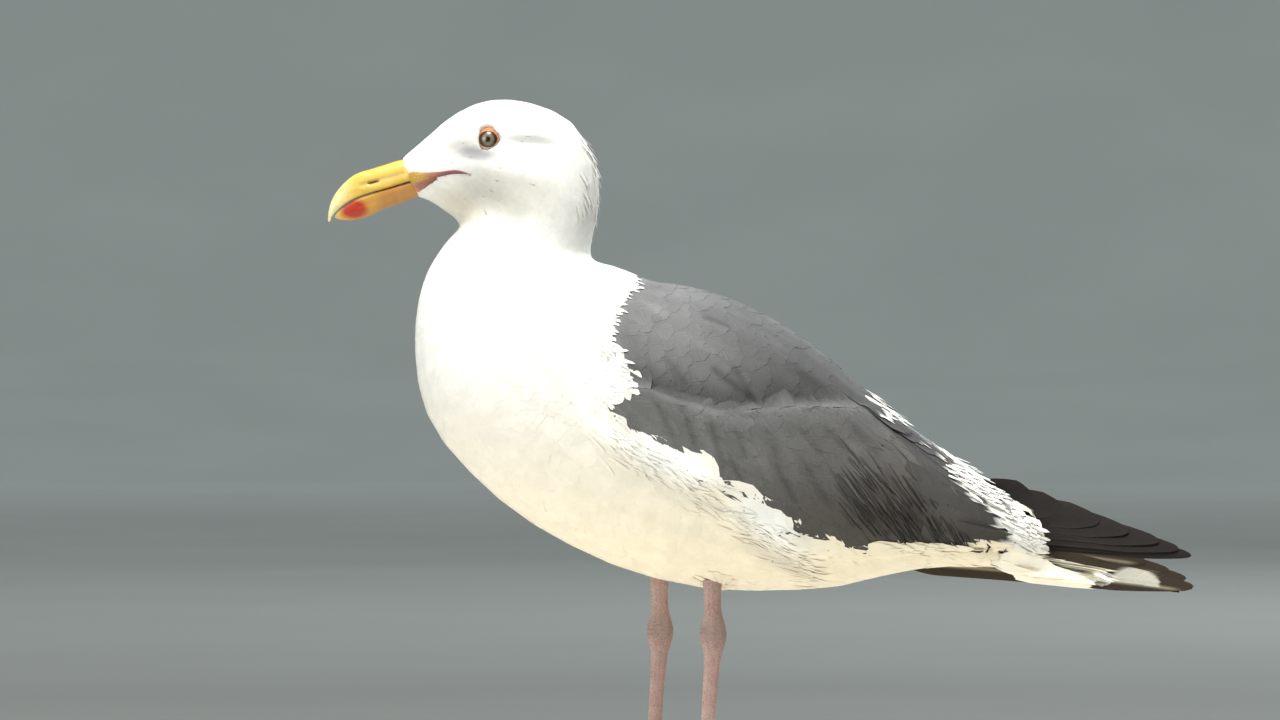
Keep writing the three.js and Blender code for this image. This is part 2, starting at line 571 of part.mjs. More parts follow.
const { scapulars, coverts } = wingSolids(GAP / 2);
add('wing_left_scapulars', scapulars, GREY_FEATHER);
add('wing_left_coverts', coverts, GREY_FEATHER);
add('wing_left_primaries', primaryBlade('left', PRIMARIES.left), BLACK_FEATHER);
const [pivotX, pivotY, pivotZ] = WING_PIVOT;
const hung = (solid) => mirrored(solid.translate([-pivotX, -pivotY, -pivotZ])
  .rotate([-RIGHT_DROOP, 0, -RIGHT_SPREAD]).translate([pivotX, pivotY, pivotZ])).subtract(trunkRoom)
  .intersect(block(-BEYOND, -GAP / 2, -BEYOND, BEYOND, 0, BEYOND));
const mirrorWing = wingSolids(-RIGHT_TRIM);
add('wing_right_scapulars', hung(mirrorWing.scapulars), GREY_FEATHER);
add('wing_right_coverts', hung(mirrorWing.coverts), GREY_FEATHER);
add('wing_right_primaries', primaryBlade('right', PRIMARIES.right), BLACK_FEATHER);

for (const [side, sign] of [['left', 1], ['right', -1]]) {
  add(`leg_${side}`, legSolid(sign, FEET[side]), FLESH);
  const place = (solid) => {
    const turned = (sign > 0 ? solid : mirrored(solid)).rotate([0, 0, sign * FOOT_TURN]);
    return turned.translate([sign * FEET[side].x, FEET[side].y, 0]);
  };
  add(`foot_${side}`, place(footSolid()), FLESH);
  for (const [toe, claw] of Object.entries(clawSolids())) add(`claw_${side}_${toe}`, place(claw), DARK_HORN);
}

// The bird stands on the floor with its middle over the origin.
const box = new THREE.Box3().setFromObject(gull);
const middle = box.getCenter(new THREE.Vector3());
gull.position.set(-middle.x, -middle.y, -box.min.z);

export default gull;
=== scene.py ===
"""A western gull, life size, standing with its wings folded: skin, plumage, bill, eyes, legs and feet.

Metres, +Z up, the bird faces -Y with its left side towards +X. Tables are in millimetres.
"""
import math

import bmesh
import bpy
import numpy as np
from mathutils import Matrix, Vector, kdtree
from mathutils.bvhtree import BVHTree


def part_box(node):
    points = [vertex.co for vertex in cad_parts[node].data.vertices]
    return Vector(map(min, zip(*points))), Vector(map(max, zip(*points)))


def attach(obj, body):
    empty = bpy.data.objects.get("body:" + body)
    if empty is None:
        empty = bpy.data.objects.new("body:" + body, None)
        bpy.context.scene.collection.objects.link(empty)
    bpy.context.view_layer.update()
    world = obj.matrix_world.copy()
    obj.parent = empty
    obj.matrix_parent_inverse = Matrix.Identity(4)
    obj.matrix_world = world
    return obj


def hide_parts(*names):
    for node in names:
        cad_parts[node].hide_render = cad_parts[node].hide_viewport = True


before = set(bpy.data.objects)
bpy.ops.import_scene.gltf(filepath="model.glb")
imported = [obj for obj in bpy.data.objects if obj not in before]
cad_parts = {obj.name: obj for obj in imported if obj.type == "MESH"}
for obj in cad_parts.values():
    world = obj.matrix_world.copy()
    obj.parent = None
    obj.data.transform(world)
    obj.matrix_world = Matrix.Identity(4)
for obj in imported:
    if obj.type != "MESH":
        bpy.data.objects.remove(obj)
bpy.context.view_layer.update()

MM = 0.001
rng = np.random.default_rng(1758)
MIDDLE = (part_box("head")[0].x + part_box("head")[1].x) / 2  # the bird's middle plane
SIDES = {"left": 1, "right": -1}

# ---- the plumage: guides and markings ----

# Guides of the plumage. Each row is a place on the side of the bird (y, z), the way its feathers lie
# (degrees upwards from straight towards the tail), their length, the space between them and the coat's depth.
GUIDES = [
    ("forehead", -191.8, 354.2, 38, 5, 1.6, 1.2),
    ("crown front", -168.7, 372.7, 15, 5.5, 1.6, 1.3),
    ("crown", -142.8, 376.7, -3, 6, 1.7, 1.5),
    ("hind crown", -116.9, 368.6, -36, 7, 1.9, 1.8),
    ("nape", -97.3, 342.7, -74, 8.5, 2.1, 2.2),
    ("hind neck", -95.0, 316.8, -88, 9, 2.4, 2.6),
    ("neck back root", -98.4, 290.9, -62, 10, 2.8, 3.0),
    ("lores", -192.9, 339.3, 10, 3.4, 1.2, 0.8),
    ("brow", -157.2, 364.6, -2, 4.2, 1.4, 1.1),
    ("before the eye", -172.8, 351.9, 0, 3.2, 1.2, 0.9),
    ("behind the eye", -137.0, 354.2, -12, 4.5, 1.5, 1.2),
    ("ear", -125.5, 339.8, -30, 6, 1.8, 1.5),
    ("cheek", -158.4, 332.4, -16, 4.8, 1.6, 1.2),
    ("chin", -192.9, 319.7, -18, 4.2, 1.4, 1.0),
    ("throat", -173.3, 307.0, -52, 6, 1.8, 1.6),
    ("jaw", -151.4, 316.8, -38, 6, 1.8, 1.6),
    ("upper neck side", -125.5, 312.8, -68, 8, 2.2, 2.2),
    ("foreneck", -177.4, 297.8, -118, 8, 2.2, 2.3),
    ("neck side", -139.9, 286.3, -92, 10, 2.8, 3.0),
    ("upper breast", -196.4, 259.2, -98, 13, 3.6, 3.4),
    ("breast", -195.2, 216.0, -80, 15, 4.2, 3.6),
    ("lower breast", -175.6, 174.5, -56, 17, 4.8, 3.8),
    ("fore belly", -139.9, 136.5, -42, 19, 5.2, 4.0),
    ("belly", -93.8, 108.9, -22, 20, 5.4, 4.0),
    ("hind belly", -36.2, 96.2, -5, 20, 5.4, 4.0),
    ("vent", 15.6, 96.2, 3, 20, 5.4, 4.0),
    ("undertail root", 67.4, 103.7, 8, 22, 5.4, 3.6),
    ("undertail", 113.5, 108.9, 6, 22, 5.4, 3.0),
    ("shoulder", -125.5, 250.6, -62, 14, 4.0, 3.4),
    ("breast side", -139.9, 204.5, -60, 16, 4.6, 3.6),
    ("fore flank", -96.7, 190.1, -36, 20, 5.0, 4.0),
    ("flank", -65.0, 158.4, -26, 26, 5.4, 4.2),
    ("mid flank", -24.7, 135.4, -18, 28, 5.6, 4.2),
    ("hind flank", 15.6, 112.3, -22, 24, 5.6, 4.0),
    ("belly side", -65.0, 118.1, -16, 20, 5.4, 4.0),
    ("mantle front", -70.8, 270.7, -24, 14, 4.2, 3.0),
    ("mantle", -36.2, 256.3, -27, 18, 5.2, 3.0),
    ("mantle hind", 9.8, 233.3, -34, 24, 6.4, 3.0),
    ("scapular front", -70.8, 236.2, -30, 16, 4.8, 3.0),
    ("scapulars", -19.0, 221.8, -26, 24, 6.4, 3.2),
    ("hind scapulars", 44.4, 212.4, -34, 34, 8.5, 3.2),
    ("scapular hem front", -59.3, 218.9, -34, 18, 5.2, 3.2),
    ("scapular hem", -19.0, 205.6, -14, 24, 6.4, 3.2),
    ("scapular hem hind", 30.0, 206.5, -12, 28, 7.0, 3.2),
    ("wing bend", -85.2, 198.7, -48, 10, 3.4, 2.6),
    ("lesser coverts", -47.8, 187.2, -52, 12, 3.8, 2.6),
    ("median coverts", -1.7, 172.8, -48, 18, 4.6, 2.8),
    ("greater coverts", 38.6, 158.4, -42, 28, 6.0, 2.8),
    ("under coverts", 21.4, 135.4, -40, 24, 5.6, 2.8),
    ("secondaries", 79.0, 146.9, -36, 36, 8.0, 2.8),
    ("wing hem", 79.0, 126.7, -34, 26, 6.0, 2.4),
    ("rump", 113.5, 181.4, -38, 24, 6.0, 3.0),
]
GUIDE_PULL = 3.0  # how fast a guide's hold falls off with distance
GUIDE_CORE = 4.0  # a guide's hold is nearly even this near to it, in millimetres
BATCH = 20000  # points worked out at a time, to save memory
FLATNESS = 0.26  # share of the guides' depth that the feathers take up as they lie

# The outline of the grey back and wings from the side, down the front edge and back along the hem.
GREY_OUTLINE = [
    (-77.7, 305.3), (-76.6, 270.7), (-90.4, 252.9), (-90.4, 237.9), (-82.3, 224.1), (-70.8, 212.5),
    (-86.9, 205.6), (-96.1, 208.5), (-90.4, 194.7), (-85.2, 187.8), (-74.8, 183.7), (-61.6, 178.0),
    (-48.3, 172.8), (-35.1, 165.9), (-27.6, 160.1), (-25.9, 151.5), (-20.1, 146.9), (-6.9, 146.3),
    (2.9, 142.8), (11.0, 135.9), (16.8, 128.4), (24.2, 121.0), (30.0, 112.9), (40.9, 115.2),
    (55.9, 119.2), (81.3, 122.7), (106.6, 124.4), (123.9, 126.7), (136.6, 131.3), (145.2, 138.2),
    (142.3, 146.9), (127.9, 156.7), (113.5, 164.2), (99.1, 178.6), (87.6, 190.1), (79.0, 201.6),
    (61.7, 213.1), (79.0, 305.3),
]

WHITE = (0.82, 0.82, 0.79)
# Painted warm reflected light: the creamy white given to the lower body's white feathers.
WARM_BOUNCE_CREAM = (0.84, 0.78, 0.63)
SLATE = (0.150, 0.153, 0.155)
SLATE_BROWN = (0.098, 0.092, 0.085)
BLACK_BROWN = (0.013, 0.0115, 0.011)
OLIVE_BROWN = (0.052, 0.040, 0.029)

guide_places = np.array([row[1:3] for row in GUIDES])
guide_values = np.array([
    (math.cos(math.radians(lie)), math.sin(math.radians(lie)), length, space, depth)
    for _, _, _, lie, length, space, depth in GUIDES
])


def guided(points):
    """Way of lie (unit, in the y-z plane), length, space and depth in metres at each point."""
    found = np.empty((len(points), guide_values.shape[1]))
    for start in range(0, len(points), BATCH):
        part = points[start:start + BATCH, 1:] / MM
        apart = np.linalg.norm(part[:, None] - guide_places[None], axis=2)
        hold = 1.0 / (apart + GUIDE_CORE) ** GUIDE_PULL
        found[start:start + BATCH] = (hold / hold.sum(axis=1, keepdims=True)) @ guide_values
    way = np.zeros((len(points), 3))
    way[:, 1:] = found[:, :2]
    way /= np.linalg.norm(way, axis=1, keepdims=True)
    return way, found[:, 2] * MM, found[:, 3] * MM, found[:, 4] * FLATNESS * MM


def inside(outline, y, z):
    """Which points of the y-z plane lie inside a closed outline, all in metres."""
    corners = np.array(outline) * MM
    within = np.zeros(len(y), bool)
    for (y0, z0), (y1, z1) in zip(corners, np.roll(corners, -1, axis=0)):
        crosses = (z0 > z) != (z1 > z)
        at = y0 + (z - z0) * (y1 - y0) / (z1 - z0 + 1e-12)
        within ^= crosses & (y < at)
    return within


def is_grey(points):
    """Which points of the coat are grey."""
    return inside(GREY_OUTLINE, points[:, 1], points[:, 2])


# Painted shade and painted light on the white plumage: shade round the eye, on the cheek, jaw, throat and
# mouth's corner, under the flank lobes and the breast, and light whitening the lobes' tops. Place (y, z),
# reach along and across, the way it runs in degrees, strength, colour.
PAINTED_LIGHT_AND_SHADE = [
    ("below the eye", -165.5, 345.6, 12.5, 4.6, -8, 0.86, (0.29, 0.29, 0.31)),
    ("before the eye", -176.0, 352.0, 12.0, 3.4, 14, 0.5, (0.42, 0.41, 0.36)),
    ("behind the eye", -133.5, 353.5, 15.0, 3.2, -3, 0.66, (0.38, 0.38, 0.39)),
    ("cheek", -150.0, 325.0, 26.0, 11.0, -12, 0.58, (0.52, 0.52, 0.45)),
    ("under the ear", -127.0, 319.0, 22.0, 11.0, -30, 0.50, (0.54, 0.54, 0.48)),
    ("corner of the mouth", -164.0, 337.0, 9.0, 4.0, -20, 0.25, (0.45, 0.44, 0.42)),
    ("throat", -172.0, 314.0, 18.0, 9.0, -35, 0.6, (0.58, 0.53, 0.40)),
    ("jaw", -152.0, 318.0, 22.0, 10.0, -24, 0.78, (0.45, 0.45, 0.39)),
    ("upper flank lobe", -55.0, 173.0, 30.0, 12.5, -30, 0.85, (0.88, 0.90, 0.90)),
    ("lower flank lobe", 3.0, 136.0, 28.0, 12.5, -36, 0.85, (0.83, 0.86, 0.87)),
    ("under the upper lobe", -46.0, 152.0, 26.0, 5.0, -22, 0.42, (0.58, 0.57, 0.52)),
    ("under the lower lobe", 6.0, 115.5, 26.0, 5.0, -28, 0.5, (0.50, 0.47, 0.41)),
    ("under the breast", -128.0, 222.0, 40.0, 20.0, -55, 0.26, (0.60, 0.60, 0.54)),
]


def from_oval(points, at_y, at_z, along, across, way):
    """The square of how far out each point lies in an oval on the side of the bird: 1 on its edge."""
    c, s = math.cos(math.radians(way)), math.sin(math.radians(way))
    y, z = points[:, 1] / MM - at_y, points[:, 2] / MM - at_z
    return ((y * c + z * s) / along) ** 2 + ((-y * s + z * c) / across) ** 2


def white_tint(points):
    """White plumage, creamier under the belly with painted warm reflected light, and with its painted shade
    and painted light.
    """
    # Painted warm reflected light: creamier lower down.
    low = np.clip((0.215 - points[:, 2]) / 0.09, 0.0, 1.0)[:, None]
    tint = (1 - low) * np.array(WHITE) + low * np.array(WARM_BOUNCE_CREAM)
    for _, *oval, strength, colour in PAINTED_LIGHT_AND_SHADE:
        spot = strength * np.exp(-from_oval(points, *oval) ** 1.5)[:, None]
        tint = tint * (1 - spot) + spot * np.array(colour)
    return tint


# Rises and hollows of the body under the plumage, on each side: place (y, z), reach along and across,
# the way it runs in degrees, and its height.
RELIEF = [
    ("hollow under the eye", -167.0, 346.2, 13, 4.2, -6, -1.7),
    ("streak behind the eye", -134.0, 352.6, 15, 3.0, -6, -1.1),
    ("brow", -160.0, 363.0, 17, 4.5, 2, 1.2),
    ("cheek", -147.0, 336.0, 18, 7, -10, 1.4),
    ("jaw", -150.0, 316.0, 16, 6, -24, -0.7),
    ("upper flank lobe, fore", -78.0, 177.0, 20, 10, -30, 3.4),
    ("upper flank lobe, tip", -42.0, 160.5, 19, 8, -24, 4.6),
    ("lower flank lobe, fore", -16.0, 138.0, 15, 9, -20, 3.0),
    ("lower flank lobe, tip", 14.0, 126.0, 17, 8.5, -36, 4.6),
    ("pocket between the lobes", -20.0, 149.5, 9, 3.5, -10, -2.0),
    ("wing bend", -84.0, 199.0, 11, 8, -40, 2.0),
]
# The line along which the scapulars roll in and the wing coverts stand out beneath them (y, z).
SCAPULAR_HEM = [(-86.8, 219), (-70.8, 213.1), (-47.8, 204.5), (-24.7, 198.7), (-1.7, 199.9), (21.4, 201.6),
                (50.0, 200.5), (61.7, 201.6)]
HEM_FRONT, HEM_END = SCAPULAR_HEM[0][0], SCAPULAR_HEM[-1][0]
HOLLOW_ABOVE, HOLLOW_FADE = 3.6, 15.0
LEDGE_BELOW, LEDGE_FADE = 2.4, 17.0


def over_hem(y, z):
    """How far places on the side of the bird lie above the scapulars' hem, in millimetres."""
    hem = np.array(SCAPULAR_HEM)
    return z - np.interp(y, hem[:, 0], hem[:, 1])


def relief(points):
    """How far the body stands out of the solids' shape at each point, in metres."""
    y, z = points[:, 1] / MM, points[:, 2] / MM
    rise = np.zeros(len(points))
    for _, *oval, height in RELIEF:
        rise += height * np.exp(-from_oval(points, *oval))
    above = over_hem(y, z)
    held = np.clip((y - HEM_FRONT) / 14.0, 0, 1) * np.clip((HEM_END + 6 - y) / 22.0, 0, 1)
    high = np.clip(above / 1.6 + 0.5, 0, 1)
    rise -= HOLLOW_ABOVE * held * high * np.exp(-(np.maximum(above, 0) / HOLLOW_FADE) ** 2)
    rise += LEDGE_BELOW * held * (1 - high) * np.exp(-(np.minimum(above, 0) / LEDGE_FADE) ** 2)
    return rise * MM


# ---- meshes and pieces ----


def mesh_from(name, places, triangles):
    mesh = bpy.data.meshes.new(name)
    mesh.vertices.add(len(places))
    mesh.vertices.foreach_set("co", np.ascontiguousarray(places, np.float32).ravel())
    mesh.loops.add(triangles.size)
    mesh.loops.foreach_set("vertex_index", np.ascontiguousarray(triangles, np.int32).ravel())
    mesh.polygons.add(len(triangles))
    mesh.polygons.foreach_set("loop_start", np.arange(0, triangles.size, 3, dtype=np.int32))
    mesh.update(calc_edges=True)
    return mesh


def placed(name, data):
    """A new object, put in the scene."""
    obj = bpy.data.objects.new(name, data)
    bpy.context.scene.collection.objects.link(obj)
    return obj


def piece(name, mesh, material, replaced=()):
    """A piece of the visual model. `replaced` names the CAD nodes that it stands for."""
    obj = placed(name, mesh)
    mesh.materials.clear()
    mesh.materials.append(material)
    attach(obj, "root")
    if replaced:
        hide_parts(*replaced)
    return obj


def give_tint(mesh, tint):
    colours = np.ones((len(mesh.vertices), 4), np.float32)
    colours[:, :3] = tint
    mesh.color_attributes.new("tint", "FLOAT_COLOR", "POINT").data.foreach_set("color", colours.ravel())


def give_map(mesh, name, places):
    """A UV map from one place for each vertex."""
    corners = np.empty(len(mesh.loops), np.int32)
    mesh.loops.foreach_get("vertex_index", corners)
    layer = mesh.uv_layers.new(name=name)
    layer.uv.foreach_set("vector", np.ascontiguousarray(places[corners], np.float32).ravel())


def smooth_rows(rows, steps):
    """Rows of numbers made finer: a smooth curve through them, in `steps` steps from row to row."""
    rows = np.array(rows, float)
    ends = np.vstack([2 * rows[0] - rows[1], rows, 2 * rows[-1] - rows[-2]])
    fine = []
    for i in range(len(rows) - 1):
        p0, p1, p2, p3 = ends[i:i + 4]
        for k in range(steps):
            t = k / steps
            fine.append(0.5 * (2 * p1 + (p2 - p0) * t + (2 * p0 - 5 * p1 + 4 * p2 - p3) * t ** 2
                               + (3 * p1 - p0 - 3 * p2 + p3) * t ** 3))
    fine.append(rows[-1])
    return np.array(fine)


def loft(bm, rings, open_ends=False):
    """A skin over rings of points, each a circle of bmesh moved into place."""
    made = []
    for ring in rings:
        circle = bmesh.ops.create_circle(bm, segments=len(ring), radius=1.0)["verts"]
        for vert, place in zip(circle, ring):
            vert.co = place
        made.append(list({e for v in circle for e in v.link_edges}))
    for one, other in zip(made[:-1], made[1:]):
        bmesh.ops.bridge_loops(bm, edges=one + other)
    if not open_ends:
        for edges in (made[0], made[-1]):
            bmesh.ops.contextual_create(bm, geom=edges)
    bmesh.ops.recalc_face_normals(bm, faces=bm.faces)


def modified(mesh, kind, **settings):
    """The mesh with one modifier applied."""
    obj = placed("modified", mesh)
    modifier = obj.modifiers.new(kind, kind)
    for setting, value in settings.items():
        setattr(modifier, setting, value)
    graph = bpy.context.evaluated_depsgraph_get()
    made = bpy.data.meshes.new_from_object(obj.evaluated_get(graph))
    bpy.data.objects.remove(obj)
    return made


def mesh_of(bm, name, levels=0):
    """Ends a bmesh: a smooth mesh, with `levels` of subdivision applied."""
    mesh = bpy.data.meshes.new(name)
    bm.to_mesh(mesh)
    bm.free()
    if levels:
        mesh = modified(mesh, "SUBSURF", levels=levels, render_levels=levels)
    mesh.shade_smooth()
    return mesh


def joined(name, parts):
    """One mesh of several, each given with its tint for every point."""
    places, faces, tints, count = [], [], [], 0
    for mesh, tint in parts:
        places.append(points_of(mesh))
        faces.append(triangles_of(mesh) + count)
        tints.append(tint)
        count += len(places[-1])
    mesh = mesh_from(name, np.concatenate(places), np.concatenate(faces))
    give_tint(mesh, np.concatenate(tints))
    return mesh


def blend(share, a, b):
    """Between two colours or arrays of colours, by a share for each point."""
    share = np.clip(share, 0.0, 1.0)[:, None]
    return (1 - share) * np.asarray(a) + share * np.asarray(b)


def points_of(mesh, what="co"):
    values = np.empty(len(mesh.vertices) * 3, np.float32)
    mesh.vertices.foreach_get(what, values)
    return values.reshape(-1, 3).astype(float)


def normals_of(mesh):
    return points_of(mesh, "normal")


def move(mesh, places):
    mesh.vertices.foreach_set("co", places.astype(np.float32).ravel())
    mesh.update()


def triangles_of(mesh):
    mesh.calc_loop_triangles()
    corners = np.empty(len(mesh.loop_triangles) * 3, np.int32)
    mesh.loop_triangles.foreach_get("vertices", corners)
    return corners.reshape(-1, 3)


# ---- materials ----


class Finish:
    """A node material: a Principled shader and short ways to add what drives it."""

    def __init__(self, name, **sockets):
        self.material = bpy.data.materials.new(name)
        self.material.use_nodes = True
        self.nodes = self.material.node_tree.nodes
        self.links = self.material.node_tree.links
        self.shader = self.nodes["Principled BSDF"]
        for socket, value in sockets.items():
            self.shader.inputs[socket.replace("_", " ")].default_value = value

    def node(self, kind, settings=None, **inputs):
        made = self.nodes.new(kind)
        for setting, value in (settings or {}).items():
            setattr(made, setting, value)
        for socket, value in inputs.items():
            self.feed(made.inputs[socket.replace("_", " ")], value)
        return made

    def feed(self, socket, value):
        if isinstance(value, bpy.types.NodeSocket):
            self.links.new(value, socket)
        else:
            socket.default_value = value

    def maths(self, operation, a, b=0.0, clamp=False):
        made = self.nodes.new("ShaderNodeMath")
        made.operation = operation
        made.use_clamp = clamp
        self.feed(made.inputs[0], a)
        self.feed(made.inputs[1], b)
        return made.outputs[0]

    def mix(self, share, a, b, blend="MIX"):
        made = self.nodes.new("ShaderNodeMix")
        made.data_type = "RGBA"
        made.blend_type = blend
        self.feed(made.inputs["Factor"], share)
        self.feed(made.inputs[6], a)
        self.feed(made.inputs[7], b)
        return made.outputs[2]

    def ramp(self, value, *stops):
        made = self.nodes.new("ShaderNodeValToRGB")
        self.links.new(value, made.inputs[0])
        elements = made.color_ramp.elements
        while len(elements) < len(stops):
            elements.new(0.5)
        for element, (at, colour) in zip(elements, stops):
            element.position = at
            element.color = (*colour, 1.0) if isinstance(colour, tuple) else (colour, colour, colour, 1.0)
        return made.outputs[0]

    def noise(self, vector, scale, detail=3.0, roughness=0.5):
        return self.node("ShaderNodeTexNoise", Vector=vector, Scale=scale, Detail=detail,
                         Roughness=roughness).outputs[0]

    def attribute(self, name):
        return self.node("ShaderNodeAttribute", {"attribute_name": name})

    def places(self):
        return self.node("ShaderNodeTexCoord").outputs["Object"]

    def bump(self, height, strength, distance):
        return self.node("ShaderNodeBump", Height=height, Strength=strength, Distance=distance).outputs[0]

    def set(self, socket, value):
        self.feed(self.shader.inputs[socket], value)


BARBS_PER_METRE, BARB_SLANT = 1100.0, 1.15


def barbs(finish):
    """Streaks along the barbs of a vane: they leave its shaft and run outwards and towards the tip."""
    vane = finish.node("ShaderNodeUVMap", {"uv_map": "vane"}).outputs[0]
    split = finish.node("ShaderNodeSeparateXYZ", Vector=vane)
    out = finish.maths("ABSOLUTE", split.outputs[0])
    along = finish.maths("SUBTRACT", split.outputs[1], finish.maths("MULTIPLY", out, BARB_SLANT))
    line = finish.node("ShaderNodeCombineXYZ", X=finish.maths("MULTIPLY", along, BARBS_PER_METRE),
                       Y=finish.maths("MULTIPLY", out, BARBS_PER_METRE * 0.07)).outputs[0]
    return finish.noise(line, 1.0, 2.0, 0.6)


def feather_finish(name, roughness, streak, deep, sheen, bumpiness):
    """Matt feathers. `streak` is how much the barbs lighten and darken, `deep` the tone between them."""
    finish = Finish(name, Roughness=roughness, Sheen_Weight=sheen, Sheen_Roughness=0.5,
                    Specular_IOR_Level=0.18)
    tint = finish.attribute("tint").outputs[0]
    lines = barbs(finish)
    fine = finish.ramp(lines, (0.34, 0.0), (0.66, 1.0))
    cloudy = finish.noise(finish.places(), 90.0, 3.0)
    shade = finish.mix(finish.maths("MULTIPLY", fine, streak), tint, deep, "MULTIPLY")
    soft = finish.ramp(cloudy, (0.35, 0.94), (0.65, 1.0))
    finish.set("Base Color", finish.mix(1.0, shade, soft, "MULTIPLY"))
    finish.set("Normal", finish.bump(lines, bumpiness, 0.00025))
    return finish.material


# ---- skin ----

FLESH_NODES = ["head", "neck", "trunk", "wing_left_scapulars", "wing_left_coverts",
               "wing_right_scapulars", "wing_right_coverts"]
SKIN_VOXEL = 2.4 * MM
SWELL = 0.35 * MM  # closes the fine gaps between the solids before they are made one
EVEN_OUT, SWELL_BACK = 0.5, -0.52  # the steps of a round of smoothing


def cad_copy(nodes):
    """One mesh of several CAD nodes, with each one's loose triangles joined up."""
    bm = bmesh.new()
    for node in nodes:
        bm.from_mesh(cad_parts[node].data)
    bmesh.ops.remove_doubles(bm, verts=bm.verts, dist=0.02 * MM)
    bmesh.ops.recalc_face_normals(bm, faces=bm.faces)
    mesh = bpy.data.meshes.new("copy")
    bm.to_mesh(mesh)
    bm.free()
    return mesh


def swelled_skin(nodes, swell, voxel, rounds):
    """CAD nodes swelled until they meet, as one closed skin of even squares, smoothed."""
    mesh = cad_copy(nodes)
    move(mesh, points_of(mesh) + swell * normals_of(mesh))
    mesh = modified(mesh, "REMESH", mode="VOXEL", voxel_size=voxel)
    smoothed(mesh, rounds)
    return mesh


def smoothed(mesh, rounds):
    """Evens out a mesh. It is swelled back after each round, so that it doesn't shrink."""
    places = points_of(mesh)
    ends = np.empty(len(mesh.edges) * 2, np.int32)
    mesh.edges.foreach_get("vertices", ends)
    ends = ends.reshape(-1, 2)
    count = np.bincount(ends.ravel(), minlength=len(places))[:, None]
    for step in (EVEN_OUT, SWELL_BACK) * rounds:
        total = np.zeros_like(places)
        for axis in range(3):
            total[:, axis] = (np.bincount(ends[:, 0], places[ends[:, 1], axis], len(places))
                              + np.bincount(ends[:, 1], places[ends[:, 0], axis], len(places)))
        places += step * (total / count - places)
    move(mesh, places)


def flesh():
    """The body under the plumage: the solids of flesh as one skin, drawn in by the coat's depth."""
    mesh = swelled_skin(FLESH_NODES, SWELL, SKIN_VOXEL, 6)
    places = points_of(mesh)
    depth = guided(places)[3]
    move(mesh, places + (relief(places) - depth - SWELL)[:, None] * normals_of(mesh))
    smoothed(mesh, 2)
    return mesh


# ---- the coat ----


def vane(columns, rows, round_tip, root_width, widest, seed, fray=0.08):
    """A vane's plan: u across from -1 to 1, v along from 0 to 1, ending in a ragged row of barb tips."""
    pick = np.random.default_rng(seed)
    across = np.linspace(-1.0, 1.0, columns + 1)
    droop = 1.0 - round_tip * np.abs(across) ** 2.4
    ragged = 2 * fray * pick.random(columns + 1)
    plan = []
    for row in range(rows + 1):
        t = row / rows
        v = droop * (t - ragged * t ** 4)
        rise = np.sin(0.5 * math.pi * np.minimum(1.0, v / widest)) ** 0.9
        width = (root_width + (1.0 - root_width) * rise) * (1.0 - 0.25 * np.maximum(0.0, v - widest) ** 1.5)
        plan += list(zip(across * width, v))
    triangles = []
    for row in range(rows):
        for column in range(columns):
            a = row * (columns + 1) + column
            b = a + columns + 1
            triangles += [(a, a + 1, b + 1), (a, b + 1, b)]
    return np.array(plan), np.array(triangles), underside(triangles, columns, rows)


def underside(triangles, columns, rows):
    """What closes a vane below: from all round its rim to a keel under its shaft.

    Gives the points of the plan it hangs from, which of them are on the keel, its triangles, and how many
    points the plan has across.
    """
    ways = {(a, b) for one in triangles for a, b in zip(one, (*one[1:], one[0]))}
    ahead = {a: b for a, b in sorted(ways) if (b, a) not in ways}
    rim = list(ahead)
    last = rows - 1 - rows // 5
    keel = [row * (columns + 1) + (columns + 1) // 2 for row in range(1, last + 1)]
    place = {point: i for i, point in enumerate(rim)}

    def under(a, b):
        row = min(a, b) // (columns + 1)
        return len(rim) + min(max(row, 1), last) - 1

    below = []
    for a in rim:
        b = ahead[a]
        here, there = under(a, b), under(b, ahead[b])
        below.append((place[b], place[a], here))
        if here != there:
            below.append((place[b], here, there))
    on_keel = np.repeat([0.0, 1.0], [len(rim), len(keel)])
    return np.array(rim + keel), on_keel, np.array(below), columns + 1


class Surface:
    """A surface that feathers are laid on. The way out of it is evened between its points."""

    def __init__(self, mesh):
        self.places, self.triangles, self.outs = points_of(mesh), triangles_of(mesh), normals_of(mesh)
        tree = BVHTree.FromPolygons([tuple(p) for p in self.places], [tuple(t) for t in self.triangles])
        self.find_nearest, self.ray_cast = tree.find_nearest, tree.ray_cast


def onto(surface, points):
    """The nearest place on a surface to each point, and the way out of the surface there."""
    spots = np.empty_like(points)
    faces = np.empty(len(points), int)
    for i, point in enumerate(points):
        spots[i], _, faces[i], _ = surface.find_nearest(point)
    corners = surface.triangles[faces]
    a, b, c = (surface.places[corners[:, i]] for i in range(3))
    whole = np.cross(b - a, c - a)
    size = np.maximum((whole ** 2).sum(1), 1e-24)
    at_b = (np.cross(spots - a, c - a) * whole).sum(1) / size
    at_c = (np.cross(b - a, spots - a) * whole).sum(1) / size
    share = np.clip(np.stack([1 - at_b - at_c, at_b, at_c], axis=1), 0, 1)
    return spots, unit((surface.outs[corners] * share[..., None]).sum(1))


def unit(vectors):
    return vectors / np.maximum(np.linalg.norm(vectors, axis=-1, keepdims=True), 1e-12)


# The line through the middle of the body, from bill to tail, that the bake map is unwrapped about.
BODY_LINE = np.array([
    (-205, 333), (-170, 338), (-135, 335), (-130, 300), (-130, 262), (-105, 225), (-60, 195),
    (0, 165), (60, 145), (120, 130), (200, 115), (260, 100),
]) * MM
PATCH = 0.003  # each feather's size on the bake map
BESIDE = 0.15  # how far out beside the bird the rays that look for its side start


